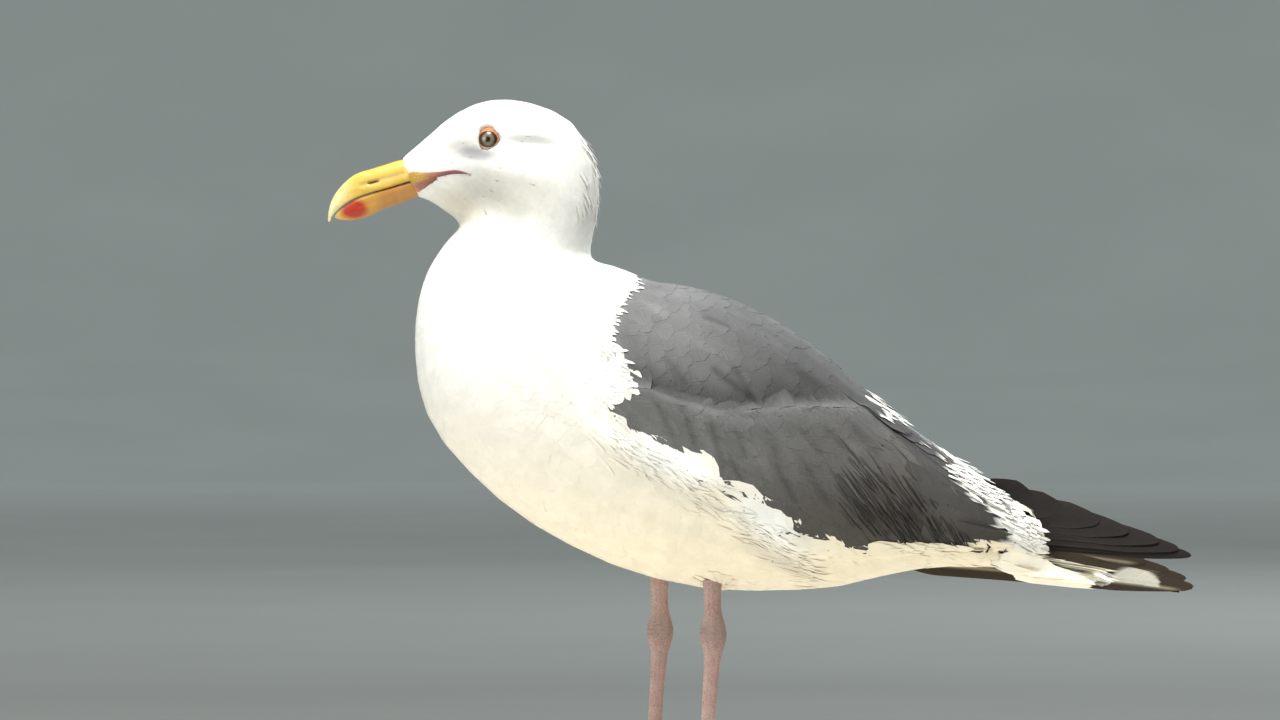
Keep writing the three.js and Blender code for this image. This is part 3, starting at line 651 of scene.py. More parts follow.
def bake_place(points):
    """Where each root lies on an unwrap of the skin: along the body, and round it from the belly line."""
    flat = points[:, 1:]
    best = np.full(len(points), 1e9)
    along = np.zeros(len(points))
    height = np.zeros(len(points))
    lengths = np.linalg.norm(np.diff(BODY_LINE, axis=0), axis=1)
    before = np.concatenate([[0.0], np.cumsum(lengths)])
    for i, (a, b) in enumerate(zip(BODY_LINE[:-1], BODY_LINE[1:])):
        step = (b - a) / lengths[i]
        t = np.clip((flat - a) @ step, 0.0, lengths[i])
        off = flat - (a + t[:, None] * step)
        apart = np.linalg.norm(off, axis=1)
        nearer = apart < best
        best[nearer] = apart[nearer]
        along[nearer] = (before[i] + t)[nearer]
        height[nearer] = (off @ np.array([-step[1], step[0]]))[nearer]
    around = np.arctan2(points[:, 0], height + 1e-9) / (2 * math.pi) + 0.5
    return np.stack([0.01 + 0.97 * along / before[-1], 0.01 + 0.97 * around], axis=1)


class Coat:
    """Feathers gathered into one mesh."""

    def __init__(self, name, material, slot, replaced=(), soft=0.6):
        self.name, self.material, self.slot, self.replaced = name, material, slot, replaced
        self.soft = soft  # how far the feathers shade as the body does, rather than each for itself
        self.places, self.faces, self.tints, self.vanes, self.bakes, self.outs = [], [], [], [], [], []
        self.count = 0

    def add(self, places, triangles, outs, tints, vane_places, bake_places):
        """Many like feathers at once: arrays with a row for each feather and one for each of its points."""
        n, k = places.shape[:2]
        offset = self.count + k * np.arange(n)[:, None, None]
        self.faces.append((triangles[None] + offset).reshape(-1, 3))
        self.places.append(places.reshape(-1, 3))
        self.outs.append(outs.reshape(-1, 3))
        self.tints.append(tints.reshape(-1, 3))
        self.vanes.append(vane_places.reshape(-1, 2))
        self.bakes.append(bake_places.reshape(-1, 2))
        self.count += n * k

    def finish(self):
        mesh = mesh_from(self.name, np.concatenate(self.places), np.concatenate(self.faces))
        give_tint(mesh, np.concatenate(self.tints))
        give_map(mesh, "OFBake", np.concatenate(self.bakes))
        give_map(mesh, "vane", np.concatenate(self.vanes))
        mesh.normals_split_custom_set_from_vertices(
            unit((1 - self.soft) * normals_of(mesh) + self.soft * np.concatenate(self.outs)))
        return piece(self.name, mesh, self.material, self.replaced)


DEEPEN, DEEPEST = 1.15, 2.5 * MM  # how much deeper a hollow feather's keel goes, and its limit


def closed(places, outs, thick, triangles, under):
    """The upper sheet of each feather with the underside that closes it.

    The keel goes deeper where the feather is hollow, so that the underside never rises through it.
    """
    points, keel, below, across = under
    heights = (places * outs[:, outs.shape[1] // 2][:, None]).sum(2).reshape(len(places), -1, across)
    off, middle = np.abs(np.linspace(-1, 1, across)), across // 2
    rim = np.where(np.arange(across) < middle, heights[..., :1], heights[..., -1:])
    sag = rim * off + heights[..., [middle]] * (1 - off) - heights
    deep = thick + DEEPEN * np.clip((sag / np.maximum(1 - off, 0.2)).max(axis=(1, 2)), 0, DEEPEST)
    lower = places[:, points] - outs[:, points] * (deep[:, None] * keel)[..., None]
    return np.concatenate([places, lower], axis=1), np.concatenate([triangles, below + places.shape[1]])


def lay(coat, tree, plans, roots, ways, length, width, rise, tint, edge_tint=None,
        camber=0.12, thick=0.2 * MM, cling=1.0, curl=0.0):
    """Lays a feather at each root, along `ways` and following the surface.

    `rise` is (root height, tip height) off the surface, as arrays in metres. `tint` is a colour for each
    feather, or a function that finds the colour at any place and a tone for each feather. `edge_tint`
    changes the colours over the vane. `camber` bends the sides down, `cling` under 1 lets the tip leave
    the surface, and `curl` draws the tip sideways.
    """
    picked = rng.integers(0, len(plans), len(roots))
    for index, (plan, triangles, under) in enumerate(plans):
        chosen = np.flatnonzero(picked == index)
        if not len(chosen):
            continue
        u, v = plan[:, 0], plan[:, 1]
        root, way = roots[chosen], ways[chosen]
        _, out = onto(tree, root)
        way = unit(way - (way * out).sum(1, keepdims=True) * out)
        side = np.cross(way, out)
        long, wide = length[chosen][:, None], width[chosen][:, None]
        flat = (root[:, None] + (long * v)[..., None] * way[:, None]
                + (wide * (u + curl * v ** 2) / 2)[..., None] * side[:, None])
        spots, outs = onto(tree, flat.reshape(-1, 3))
        spots, outs = spots.reshape(flat.shape), outs.reshape(flat.shape)
        low, high = rise[0][chosen][:, None], rise[1][chosen][:, None]
        up = low + (high - low) * v ** 1.1 - camber * wide * u ** 2 * 0.5
        held = spots + outs * up[..., None]
        if cling < 1.0:
            free = flat + out[:, None] * up[..., None]
            share = (v ** 1.5 * (1.0 - cling))[None, :, None]
            held = held * (1 - share) + free * share
        both, faces = closed(held, outs, thick, triangles, under)
        below = under[0]
        facing = np.concatenate([outs, -outs[:, below]], axis=1)
        if isinstance(tint, tuple):
            colour, tones = tint
            base = colour(spots.reshape(-1, 3)).reshape(spots.shape) * tones[chosen][:, None, None]
        else:
            base = tint[chosen][:, None, :] * np.ones((1, len(u), 1))
        if edge_tint is not None:
            base = edge_tint(base, u, v, chosen)
        twice = np.concatenate([base, base[:, below]], axis=1)
        shift = rng.random((len(chosen), 1)) * 7.0
        strip = np.stack([(wide * u / 2), long * v + shift], axis=2)
        strips = np.concatenate([strip, strip[:, below]], axis=1)
        patch = np.stack([(u + 1) / 2, v], axis=1) * PATCH
        patches = bake_place(root)[:, None] + np.concatenate([patch, patch[below]])[None]
        coat.add(both, faces, facing, twice, strips, patches)


TRIES = 4.0  # places tried for each root wanted
CLOSEST = 0.86  # the least distance between roots, as a share of the guides' space


def scatter(mesh, keep, seed, crowd=1.0):
    """Roots over the skin, as far apart as the guides say. `crowd` brings them closer together."""
    pick = np.random.default_rng(seed)
    places = points_of(mesh)
    triangles = triangles_of(mesh)
    a, b, c = (places[triangles[:, i]] for i in range(3))
    middle = (a + b + c) / 3
    use = keep(middle)
    a, b, c, middle = a[use], b[use], c[use], middle[use]
    area = np.linalg.norm(np.cross(b - a, c - a), axis=1) / 2
    space = guided(middle)[2] / crowd
    wanted = area / space ** 2
    total = int(wanted.sum() * TRIES)
    faces = pick.choice(len(area), total, p=wanted / wanted.sum())
    s, t = pick.random((2, total))
    over = s + t > 1
    s[over], t[over] = 1 - s[over], 1 - t[over]
    roots = a[faces] + s[:, None] * (b - a)[faces] + t[:, None] * (c - a)[faces]
    radius = guided(roots)[2] / crowd * CLOSEST
    tree = kdtree.KDTree(total)
    for i, root in enumerate(roots):
        tree.insert(root, i)
    tree.balance()
    alive = np.ones(total, bool)
    kept = []
    for i in range(total):
        if alive[i]:
            kept.append(i)
            for _, j, _ in tree.find_range(roots[i], radius[i]):
                alive[j] = False
    return roots[kept]


def lying(lie):
    """Ways along the side of the bird, each raised by an angle from straight towards the tail."""
    return np.stack([np.zeros(len(lie)), np.cos(lie), np.sin(lie)], axis=1)


def side_spot(side, y, z, middle=0.0):
    """Where the body is met from straight beside it, or None past its edge. All in metres."""
    beside = Vector((middle + side * BESIDE, y, z))
    return body_tree.ray_cast(beside, Vector((-side, 0, 0)))[0]


def swing(ways, outs, degrees):
    """Turns each way by a random angle about the way out of the skin."""
    angle = np.radians(rng.normal(0.0, degrees, len(ways)))[:, None]
    return unit(ways * np.cos(angle) + np.cross(outs, ways) * np.sin(angle))


# ---- stage ----


# The floor's rings, as radius and height in metres: flat round the bird and curving up into a backdrop.
FLOOR_RINGS = [(0.5, 0), (3, 0), (9, 0), (11, 0.25), (12.6, 1.0), (13.6, 2.2), (14, 4), (14.2, 9)]


def stage():
    """The floor, in soft grey paper that lightens towards its rim."""
    bm = bmesh.new()
    rings = []
    for radius, height in FLOOR_RINGS:
        ring = bmesh.ops.create_circle(bm, segments=96, radius=radius, cap_ends=not rings)["verts"]
        bmesh.ops.translate(bm, vec=(0, 0, height), verts=ring)
        rings.append(ring)
    for lower, upper in zip(rings[:-1], rings[1:]):
        edges = [e for ring in (lower, upper) for v in ring for e in v.link_edges
                 if e.other_vert(v) in ring]
        bmesh.ops.bridge_loops(bm, edges=list(set(edges)))
    bmesh.ops.recalc_face_normals(bm, faces=bm.faces)
    floor = placed("studio_floor", mesh_of(bm, "studio_floor"))
    paper = Finish("backdrop paper", Roughness=0.9, Specular_IOR_Level=0.1)
    grain = paper.noise(paper.places(), 2.0, 4.0)
    away = paper.node("ShaderNodeVectorMath", {"operation": "LENGTH"}, Vector=paper.places())
    share = paper.maths("DIVIDE", away.outputs["Value"], 14.0, clamp=True)
    colour = paper.ramp(share, (0.06, (0.120, 0.130, 0.126)), (0.28, (0.27, 0.29, 0.28)),
                        (0.6, (0.56, 0.60, 0.58)))
    paper.set("Base Color", paper.mix(1.0, colour, paper.ramp(grain, (0.3, 0.94), (0.7, 1.0)), "MULTIPLY"))
    floor.data.materials.append(paper.material)


def soft_light(name, place, aim, size, watts, colour):
    light = bpy.data.lights.new(name, "AREA")
    light.shape = "DISK"
    light.size = size
    light.energy = watts
    light.color = colour
    obj = placed(name, light)
    obj.location = place
    obj.rotation_euler = (Vector(aim) - Vector(place)).to_track_quat("-Z", "Y").to_euler()
    obj.visible_camera = False


def studio():
    """The floor, four soft lights and an even dome of light."""
    stage()
    bird = (0.0, -0.03, 0.22)  # where the lights look
    soft_light("key", (1.0, -0.2, 3.4), bird, 1.8, 180.0, (1.0, 0.985, 0.95))
    soft_light("fill", (2.7, -2.9, 0.9), bird, 2.6, 100.0, (1.0, 0.97, 0.92))
    soft_light("floor bounce", (0.16, -0.03, 0.015), (0.16, -0.03, 1), 1.0, 2.6, (1.0, 0.92, 0.78))
    soft_light("rim", (-2.2, 1.6, 2.2), bird, 1.5, 75.0, (0.95, 0.98, 1.0))
    world = bpy.data.worlds.new("dome")
    world.use_nodes = True
    dome = world.node_tree.nodes["Background"]
    dome.inputs[0].default_value = (0.93, 0.97, 1.0, 1)
    dome.inputs[1].default_value = 0.55
    bpy.context.scene.world = world
    bpy.context.scene.view_settings.view_transform = "Standard"


CAMERA_AWAY = 4.0
VIEW_WIDTH = 0.73728  # how much of the world the frame takes in at the bird
VIEW_MIDDLE = (-0.0708, 0.2275)  # what the camera looks straight at (y, z)
SENSOR = 36.0  # the camera's sensor, in millimetres of its own


def camera():
    data = bpy.data.cameras.new("camera")
    data.sensor_width = SENSOR
    data.lens = SENSOR * CAMERA_AWAY / VIEW_WIDTH
    data.clip_end = 60.0
    obj = placed("camera", data)
    obj.location = (CAMERA_AWAY, *VIEW_MIDDLE)
    obj.rotation_euler = (math.radians(90), 0, math.radians(90))
    bpy.context.scene.camera = obj


# ---- making the bird ----

camera()
studio()

white_feathers = feather_finish("white feathers", 0.8, 0.6, (0.92, 0.92, 0.91, 1), 0.08, 0.10)
grey_feathers = feather_finish("slate feathers", 0.8, 0.8, (0.70, 0.69, 0.68, 1), 0.06, 0.5)

body = flesh()
body_tree = Surface(body)


# ---- eyes and lids ----

GLOBE = 8.0 * MM  # its radius
CORNEA, CORNEA_EDGE = 0.05, 40.0  # the cornea's bulge as a share of the globe, and its edge in degrees
LOOK = Vector((1.0, -0.10, 0.03)).normalized()  # the left eye's way of looking
LID_OPENING = (5.15 * MM, 4.35 * MM)  # half its width and half its height
LID_RIM = (7.3 * MM, 6.0 * MM)
# Across a lid: the share of the way from its opening to its rim, and the height off the globe or the skin.
LID_PROFILE = [(-0.12, -0.5), (0.0, 0.12), (0.16, 0.5), (0.42, 0.72), (0.7, 0.5), (0.9, 0.05), (1.08, -0.7)]
LID_SEGMENTS = 72
LID_LOWEST = 4.2 * MM  # lids stay at least this far out from the globe's middle
LID_DARK = (0.20, 0.07, 0.028)
ORANGE_SKIN = (0.62, 0.235, 0.075)
BROWN_SKIN = (0.33, 0.12, 0.045)
PALE_SKIN = (0.80, 0.60, 0.47)


def eye_axes(side):
    """An eye's middle and its three axes: forwards along the head, up, and out the way it looks."""
    low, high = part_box("eye_left" if side > 0 else "eye_right")
    out = Vector((side * LOOK.x, LOOK.y, LOOK.z))
    up = (Vector((0, 0, 1)) - out * out.z).normalized()
    return (low + high) / 2, up.cross(out) * side, up, out


def eye(name, side):
    """The globe with its bulging cornea. Its poles lie on the way it looks."""
    centre, *_, out = eye_axes(side)
    bm = bmesh.new()
    bmesh.ops.create_uvsphere(bm, u_segments=64, v_segments=48, radius=GLOBE)
    for vert in bm.verts:
        angle = math.degrees(vert.co.angle(Vector((0, 0, 1))))
        vert.co *= 1 + CORNEA * max(0.0, 1 - (angle / CORNEA_EDGE) ** 2)
    turn = out.to_track_quat("Z", "Y").to_matrix().to_4x4()
    bmesh.ops.transform(bm, matrix=Matrix.Translation(centre) @ turn, verts=bm.verts)
    mesh = mesh_of(bm, name)
    away = points_of(mesh) - np.array(centre)
    along = away @ np.array(out)
    from_axis = np.linalg.norm(away - along[:, None] * np.array(out), axis=1) / MM
    from_axis[along < 0] = GLOBE / MM
    values = mesh.attributes.new("from_pupil", "FLOAT", "POINT").data
    values.foreach_set("value", from_axis.astype(np.float32))
    return piece(name, mesh, iris_finish(), ["eye_left" if side > 0 else "eye_right"])


def iris_finish():
    if "iris" in bpy.data.materials:
        return bpy.data.materials["iris"]
    finish = Finish("iris", Roughness=0.3, Coat_Weight=0.6, Coat_Roughness=0.03, Specular_IOR_Level=0.3)
    away = finish.attribute("from_pupil").outputs["Fac"]
    fibres = finish.noise(finish.places(), 2600.0, 3.0, 0.6)
    uneven = finish.maths("MULTIPLY", finish.maths("SUBTRACT", fibres, 0.5), 0.5)
    wobble = finish.maths("ADD", away, uneven)
    share = finish.maths("DIVIDE", wobble, 6.0, clamp=True)
    rings = finish.ramp(share, (0.21, (0.003, 0.003, 0.003)), (0.25, (0.06, 0.05, 0.03)),
                        (0.31, (0.17, 0.155, 0.09)), (0.50, (0.19, 0.175, 0.105)),
                        (0.60, (0.12, 0.085, 0.04)), (0.69, (0.05, 0.020, 0.010)),
                        (0.9, (0.02, 0.01, 0.006)))
    speckle = finish.ramp(fibres, (0.35, 0.72), (0.65, 1.0))
    finish.set("Base Color", finish.mix(1.0, rings, speckle, "MULTIPLY"))
    return finish.material


def lids(side):
    """The bare ring round an eye: it rises off the globe, rounds over and sinks into the face."""
    centre, ahead, up, out = eye_axes(side)
    opening, rim = LID_OPENING, LID_RIM
    rings = []
    for share, lift in LID_PROFILE:
        ring = []
        for i in range(LID_SEGMENTS):
            angle = 2 * math.pi * i / LID_SEGMENTS
            wide = opening[0] + (rim[0] - opening[0]) * share
            tall = opening[1] + (rim[1] - opening[1]) * share
            wrinkle = 1 + 0.012 * math.sin(9 * angle) + 0.01 * math.sin(17 * angle + 1)
            across, high = wide * math.cos(angle) * wrinkle, tall * math.sin(angle) * wrinkle
            globe = math.sqrt(max(GLOBE ** 2 - across ** 2 - high ** 2, LID_LOWEST ** 2))
            place = centre + ahead * across + up * high + out * (globe + lift * MM)
            if share > 0.6:
                spot, way, _, _ = body_tree.find_nearest(place)
                settled = spot + way * (lift + 0.55) * MM
                place = place.lerp(settled, min(1.0, (share - 0.6) / 0.4))
            ring.append(place)
        rings.append(ring)
    bm = bmesh.new()
    loft(bm, rings, open_ends=True)
    mesh = mesh_of(bm, "lids", 1)
    away = points_of(mesh) - np.array(centre)
    across, high = away @ np.array(ahead), away @ np.array(up)
    angle = np.arctan2(high, across)
    upper = 0.5 + 0.5 * np.sin(angle + 0.35 * np.cos(angle))
    tint = blend(1 - upper, ORANGE_SKIN, PALE_SKIN)
    behind = np.clip(-np.cos(angle) * 1.4 - 0.2, 0, 1) * np.clip(1.3 - np.abs(np.sin(angle)) * 1.2, 0, 1)
    tint = blend(behind, tint, BROWN_SKIN)
    inner = np.sqrt((across / opening[0]) ** 2 + (high / opening[1]) ** 2)
    tint = blend((1.12 - inner) / 0.07, tint, LID_DARK)
    return mesh, tint


# ---- bill ----

BILL_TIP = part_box("bill_upper")[0].y / MM
# Ribs of the mandibles: how far behind the bill's tip and how high their top lies, the same for their
# bottom, and half their width.
UPPER_RIBS = [
    (48.5, 343.3, 54.0, 331.5, 8.2), (41.3, 342.5, 47.2, 329.8, 7.6), (33.8, 340.2, 39.2, 327.6, 6.8),
    (24.8, 337.4, 29.8, 325.0, 5.9), (15.8, 334.4, 20.2, 321.9, 5.1), (8.4, 328.4, 12.8, 318.6, 4.3),
    (3.0, 321.0, 7.4, 314.9, 3.3), (0.5, 313.6, 3.4, 311.4, 2.0), (0.0, 307.4, 1.0, 306.8, 0.7),
]
LOWER_RIBS = [
    (54.0, 331.0, 58.0, 322.6, 7.8), (47.2, 329.5, 51.0, 321.2, 7.0), (38.8, 327.2, 42.2, 317.8, 6.1),
    (29.4, 324.6, 32.6, 314.4, 5.3), (21.4, 321.9, 24.4, 310.7, 4.9), (15.4, 319.5, 18.4, 308.6, 4.4),
    (9.8, 316.0, 12.2, 308.0, 3.5), (6.0, 312.9, 7.2, 308.4, 2.2), (4.0, 310.4, 4.4, 309.2, 0.7),
]
NOSTRIL = [(-226.6, 329.2), (-221.6, 330.4)]  # its two ends on the side of the bill (y, z)
RED_SPOT = (-235.4, 314.2)
HORN_YELLOW = (0.70, 0.485, 0.085)
HORN_ORANGE = (0.50, 0.235, 0.055)
HORN_PALE = (0.74, 0.70, 0.36)
SPOT_RED = (0.45, 0.036, 0.013)
MOUTH_DARK = (0.10, 0.045, 0.03)


BILL_SEGMENTS = 48


def mandible_rings(ribs, widest, upper_full, lower_full):
    """Rings along a mandible. `widest` is where up its height it is widest, and the others how full it is."""
    rings = []
    for top_back, top_z, low_back, low_z, half in smooth_rows(ribs, 8):
        top = np.array((BILL_TIP + top_back, top_z))
        low = np.array((BILL_TIP + low_back, low_z))
        high = np.linalg.norm(top - low)
        up = (top - low) / high
        waist = low + up * high * widest
        ring = []
        for i in range(BILL_SEGMENTS):
            angle = 2 * math.pi * i / BILL_SEGMENTS
            rise, out = math.cos(angle), math.sin(angle)
            power = 2 / (upper_full if rise >= 0 else lower_full)
            reach = high * (1 - widest) if rise >= 0 else high * widest
            lift = math.copysign(abs(rise) ** power, rise) * reach
            side = math.copysign(abs(out) ** power, out) * half
            y, z = waist + up * lift
            ring.append(Vector((MIDDLE + side * MM, y * MM, z * MM)))
        rings.append(ring)
    return rings


def near_line(y, z, line):
    """How far points on the side of the bird are from a short line, in millimetres."""
    a, b = np.array(line[0]), np.array(line[1])
    step = b - a
    t = np.clip(((y - a[0]) * step[0] + (z - a[1]) * step[1]) / (step @ step), 0, 1)
    return np.hypot(y - a[0] - t * step[0], z - a[1] - t * step[1])


def bill_tint(places, upper):
    """Yellow horn, paler at the tip, with the red spot below, the dark seam and the nostril."""
    y, z = places[:, 1] / MM, places[:, 2] / MM
    back = y - BILL_TIP
    seam = np.interp(y, *np.array(sorted((BILL_TIP + r[2], r[3]) for r in UPPER_RIBS)).T)
    if upper:
        tint = blend((16 - back) / 14, HORN_YELLOW, HORN_PALE)
        tint = blend((back - 30) / 22 * np.clip((337 - z) / 8, 0, 1), tint, (0.62, 0.36, 0.05))
    else:
        tint = blend((back - 8) / 26, HORN_YELLOW, HORN_ORANGE)
        tint = blend((8 - back) / 6, tint, HORN_PALE)
        spot = np.hypot((y - RED_SPOT[0]) / 7.4, (z - RED_SPOT[1]) / 5.2)
        tint = blend((2.0 - spot) / 1.0 * 0.6, tint, (0.66, 0.30, 0.06))
        tint = blend((1.32 - spot) / 0.55, tint, SPOT_RED)
    line = np.exp(-((z - seam) / 0.5) ** 2)
    tint = blend(line * np.clip((back - 6) / 14, 0, 0.45), tint, (0.34, 0.17, 0.04))
    tint = blend(line * np.clip((back - 36) / 14, 0, 0.7), tint, MOUTH_DARK)
    if upper:
        apart = near_line(y, z, NOSTRIL)
        tint = blend(np.exp(-(apart / 0.75) ** 2), tint, (0.04, 0.018, 0.01))
        # Painted shadow: a dull grey-olive shade in front of the nostril.
        fore = near_line(y, z, [(-231.5, 327.6), (-226.6, 329.2)])
        tint = blend(0.45 * np.exp(-(fore / 1.0) ** 2), tint, (0.36, 0.30, 0.12))
        groove = near_line(y, z, [(-221.0, 330.8), (-209.0, 334.2)])
        tint = blend(0.55 * np.exp(-(groove / 1.3) ** 2), tint, (0.72, 0.50, 0.26))
    return tint


def horn_finish():
    finish = Finish("horn of the bill", Roughness=0.36, Coat_Weight=0.15, Coat_Roughness=0.25,
                    Specular_IOR_Level=0.45, Subsurface_Weight=0.12,
                    Subsurface_Radius=(0.003, 0.0015, 0.0006))
    places = finish.places()
    stretched = finish.node("ShaderNodeMapping", Vector=places, Scale=(1.0, 0.35, 1.0)).outputs[0]
    streaks = finish.noise(stretched, 900.0, 4.0, 0.6)
    clouds = finish.noise(places, 240.0, 3.0)
    streaky = finish.ramp(streaks, (0.3, 0.7), (0.7, 1.0))
    cloudy = finish.ramp(clouds, (0.3, 0.75), (0.6, 1.0))
    colour = finish.mix(0.30, finish.attribute("tint").outputs[0], streaky, "MULTIPLY")
    finish.set("Base Color", finish.mix(0.35, colour, cloudy, "MULTIPLY"))
    finish.set("Normal", finish.bump(streaks, 0.22, 0.0002))
    return finish.material


def bill():
    """The two mandibles, with the nostril and its groove sunk in and their edges raised a little."""
    horn = horn_finish()
    for name, ribs, widest, upper_full, lower_full, node in (
            ("bill_upper_horn", UPPER_RIBS, 0.22, 2.1, 4.5, "bill_upper"),
            ("bill_lower_horn", LOWER_RIBS, 0.74, 4.5, 2.1, "bill_lower")):
        bm = bmesh.new()
        loft(bm, mandible_rings(ribs, widest, upper_full, lower_full))
        mesh = mesh_of(bm, name, 1)
        places = points_of(mesh)
        normals = normals_of(mesh)
        y, z = places[:, 1] / MM, places[:, 2] / MM
        if node == "bill_upper":
            apart = near_line(y, z, NOSTRIL)
            groove = near_line(y, z, [(-231.0, 328.2), (-207.0, 334.4)])
            sink = 1.5 * np.exp(-(apart / 0.65) ** 2) + 0.6 * np.exp(-(groove / 1.5) ** 2)
            ridge = near_line(y, z, [(-240.0, 326.0), (-212.0, 326.6)])
            sink -= 0.25 * np.exp(-(ridge / 1.6) ** 2)
        else:
            ridge = near_line(y, z, [(-232.0, 316.0), (-205.0, 323.0)])
            sink = 0.35 * np.exp(-(ridge / 1.6) ** 2)
        places -= normals * (sink * MM)[:, None] * np.clip(np.abs(places[:, :1] - MIDDLE) / (2 * MM), 0, 1)
        move(mesh, places)
        give_tint(mesh, bill_tint(places, node == "bill_upper"))
        piece(name, mesh, horn, [node])


# The corner of the mouth on each side of the face: a roll of horn and bare skin along the gape, and one along
# the lower mandible's base. Each row is a place (y, z), half its height, how far it stands off the skin,
# and its colour.
GAPE_PURPLE = (0.23, 0.075, 0.085)
GAPE_ROLL = [
    (-214.5, 332.0, 7.0, 0.2, HORN_YELLOW), (-207.9, 331.8, 6.0, 0.55, HORN_YELLOW),
    (-200.4, 332.2, 3.9, 0.65, (0.60, 0.38, 0.07)), (-194.6, 332.7, 2.6, 0.7, (0.50, 0.28, 0.08)),
    (-186.6, 333.9, 1.6, 0.7, (0.30, 0.11, 0.09)), (-181.4, 334.8, 1.25, 0.75, GAPE_PURPLE),
    (-176.8, 335.3, 1.2, 0.75, GAPE_PURPLE), (-172.2, 334.9, 0.8, 0.7, GAPE_PURPLE),
    (-167.4, 333.9, 0.3, 0.5, (0.45, 0.3, 0.28)),
]
CHIN_ROLL = [
    (-212.0, 323.2, 4.8, 0.2, HORN_ORANGE), (-207.9, 323.9, 4.5, 0.4, HORN_ORANGE),
    (-202.1, 325.9, 4.2, 0.5, (0.66, 0.36, 0.17)), (-197.5, 327.6, 3.1, 0.55, (0.42, 0.20, 0.15)),
    (-192.5, 329.6, 1.9, 0.6, (0.32, 0.12, 0.10)), (-187.5, 332.0, 1.0, 0.55, GAPE_PURPLE),
]


ROLL_SEGMENTS = 12


def roll(side, rows):
    """A soft rounded strip along the face, through places on its side."""
    fine = smooth_rows([(y, z, half, off, *colour) for y, z, half, off, colour in rows], 5)
    rings, tints = [], []
    for i, (y, z, half, off, *colour) in enumerate(fine):
        start = Vector((MIDDLE + side * 0.05, y * MM, z * MM))
        spot, way, _, _ = body_tree.ray_cast(start, Vector((-side, 0, 0)))
        if spot is None:
            continue
        nearby = fine[min(i + 1, len(fine) - 1)] - fine[max(i - 1, 0)]
        along = Vector((0, nearby[0], nearby[1])).normalized()
        across = way.cross(along).normalized()
        middle = spot + way * (off - 0.5) * MM
        rings.append([middle + across * half * MM * math.cos(a) + way * 0.75 * MM * math.sin(a)
                      for a in (2 * math.pi * k / ROLL_SEGMENTS for k in range(ROLL_SEGMENTS))])
        tints.append(colour)
    bm = bmesh.new()
    loft(bm, rings)
    mesh = mesh_of(bm, "roll", 1)
    places = points_of(mesh)
    centres = np.array([np.mean([list(p) for p in ring], axis=0) for ring in rings])
    nearest = np.argmin(np.linalg.norm(places[:, None] - centres[None], axis=2), axis=1)
    return mesh, np.array(tints)[nearest]


# ---- legs and feet ----

LEG_VOXEL = 0.62 * MM
LEG_SWELL = 0.3 * MM
HEEL_INSET = 12 * MM  # how far the leg stands ahead of the foot's hind end
SCUTE_HEIGHT, KNEE_HEIGHT = 3.1, 71.5
FLESH_PINK = (0.38, 0.25, 0.225)
FLESH_PALE = (0.43, 0.33, 0.295)
FLESH_GREY = (0.25, 0.19, 0.18)


def leg(side_name):
    """A leg and its foot as one skin, with scutes down the front of the leg and over the toes."""
    mesh = swelled_skin([f"leg_{side_name}", f"foot_{side_name}"], LEG_SWELL, LEG_VOXEL, 7)
    places, normals = points_of(mesh), normals_of(mesh)
    low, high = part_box(f"leg_{side_name}")
    z = places[:, 2] / MM
    shaft = np.clip((z - 11) / 5, 0, 1)
    front = np.clip(-normals[:, 1] * 2 - 0.4, 0, 1) * shaft
    scute = (z / SCUTE_HEIGHT) % 1.0
    rise = 0.26 * front * (scute ** 0.5 - 0.6)
    knee = np.exp(-((z - KNEE_HEIGHT) / 7) ** 2)
    rise += 0.35 * knee * np.sin(z * 2.6) * np.clip(-normals[:, 1] + 0.4, 0, 1)
    foot = 1 - shaft
    toes = np.clip((z - 2.4) / 1.2, 0, 1) * foot
    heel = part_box(f"foot_{side_name}")[1].y - HEEL_INSET
    spread = np.hypot(places[:, 0] - (low.x + high.x) / 2, places[:, 1] - heel) / MM
    rise += 0.22 * toes * ((spread / 2.3) % 1.0 - 0.5)
    places += normals * ((rise * MM) - LEG_SWELL)[:, None]
    floor = places[:, 2] < 0.6 * MM
    places[floor, 2] = np.maximum(places[floor, 2], 0.0)
    move(mesh, places)
    tint = blend(front * 0.5 + 0.2 * np.sin(z * 0.35), FLESH_PINK, FLESH_PALE)
    tint = blend(0.55 * knee, tint, FLESH_GREY)
    tint = blend(0.5 * np.clip(1 - scute * 5, 0, 1) * front, tint, FLESH_GREY)
    web = foot * np.clip((2.2 - z) / 0.8, 0, 1)
    tint = blend(0.45 * web, tint, FLESH_PINK)
    return mesh, tint


def bare_skin_finish():
    finish = Finish("skin", Roughness=0.5, Specular_IOR_Level=0.4, Subsurface_Weight=0.15,
                    Subsurface_Radius=(0.004, 0.0015, 0.001))
    places = finish.places()
    cells = finish.node("ShaderNodeTexVoronoi", {"feature": "DISTANCE_TO_EDGE"}, Vector=places, Scale=620.0)
    scales = finish.ramp(cells.outputs["Distance"], (0.0, 0.0), (0.12, 1.0))
    blotch = finish.noise(places, 170.0, 4.0, 0.6)
    blotchy = finish.ramp(blotch, (0.3, 0.62), (0.65, 1.0))
    colour = finish.mix(0.45, finish.attribute("tint").outputs[0], blotchy, "MULTIPLY")
    finish.set("Base Color", finish.mix(0.30, colour, scales, "MULTIPLY"))
    finish.set("Normal", finish.bump(scales, 0.35, 0.00025))
    return finish.material


def skin():
    """All the skin of the bird as one piece: body, lids, corners of the mouth, legs and feet."""
    places = points_of(body)
    # The body's skin takes the plumage's tint, with its painted shade, painted light and painted warm
    # reflected light, a little darker.
    tint = white_tint(places) * 0.9
    tint[is_grey(places)] = np.array(SLATE) * 0.6
    parts = [(body, tint)]
    for side_name, side in SIDES.items():
        parts += [lids(side), roll(side, GAPE_ROLL), roll(side, CHIN_ROLL), leg(side_name)]
    mesh = joined("skin", parts)
    legs = [f"{part}_{side_name}" for part in ("leg", "foot") for side_name in SIDES]
    return piece("skin", mesh, bare_skin_finish(), FLESH_NODES + legs)


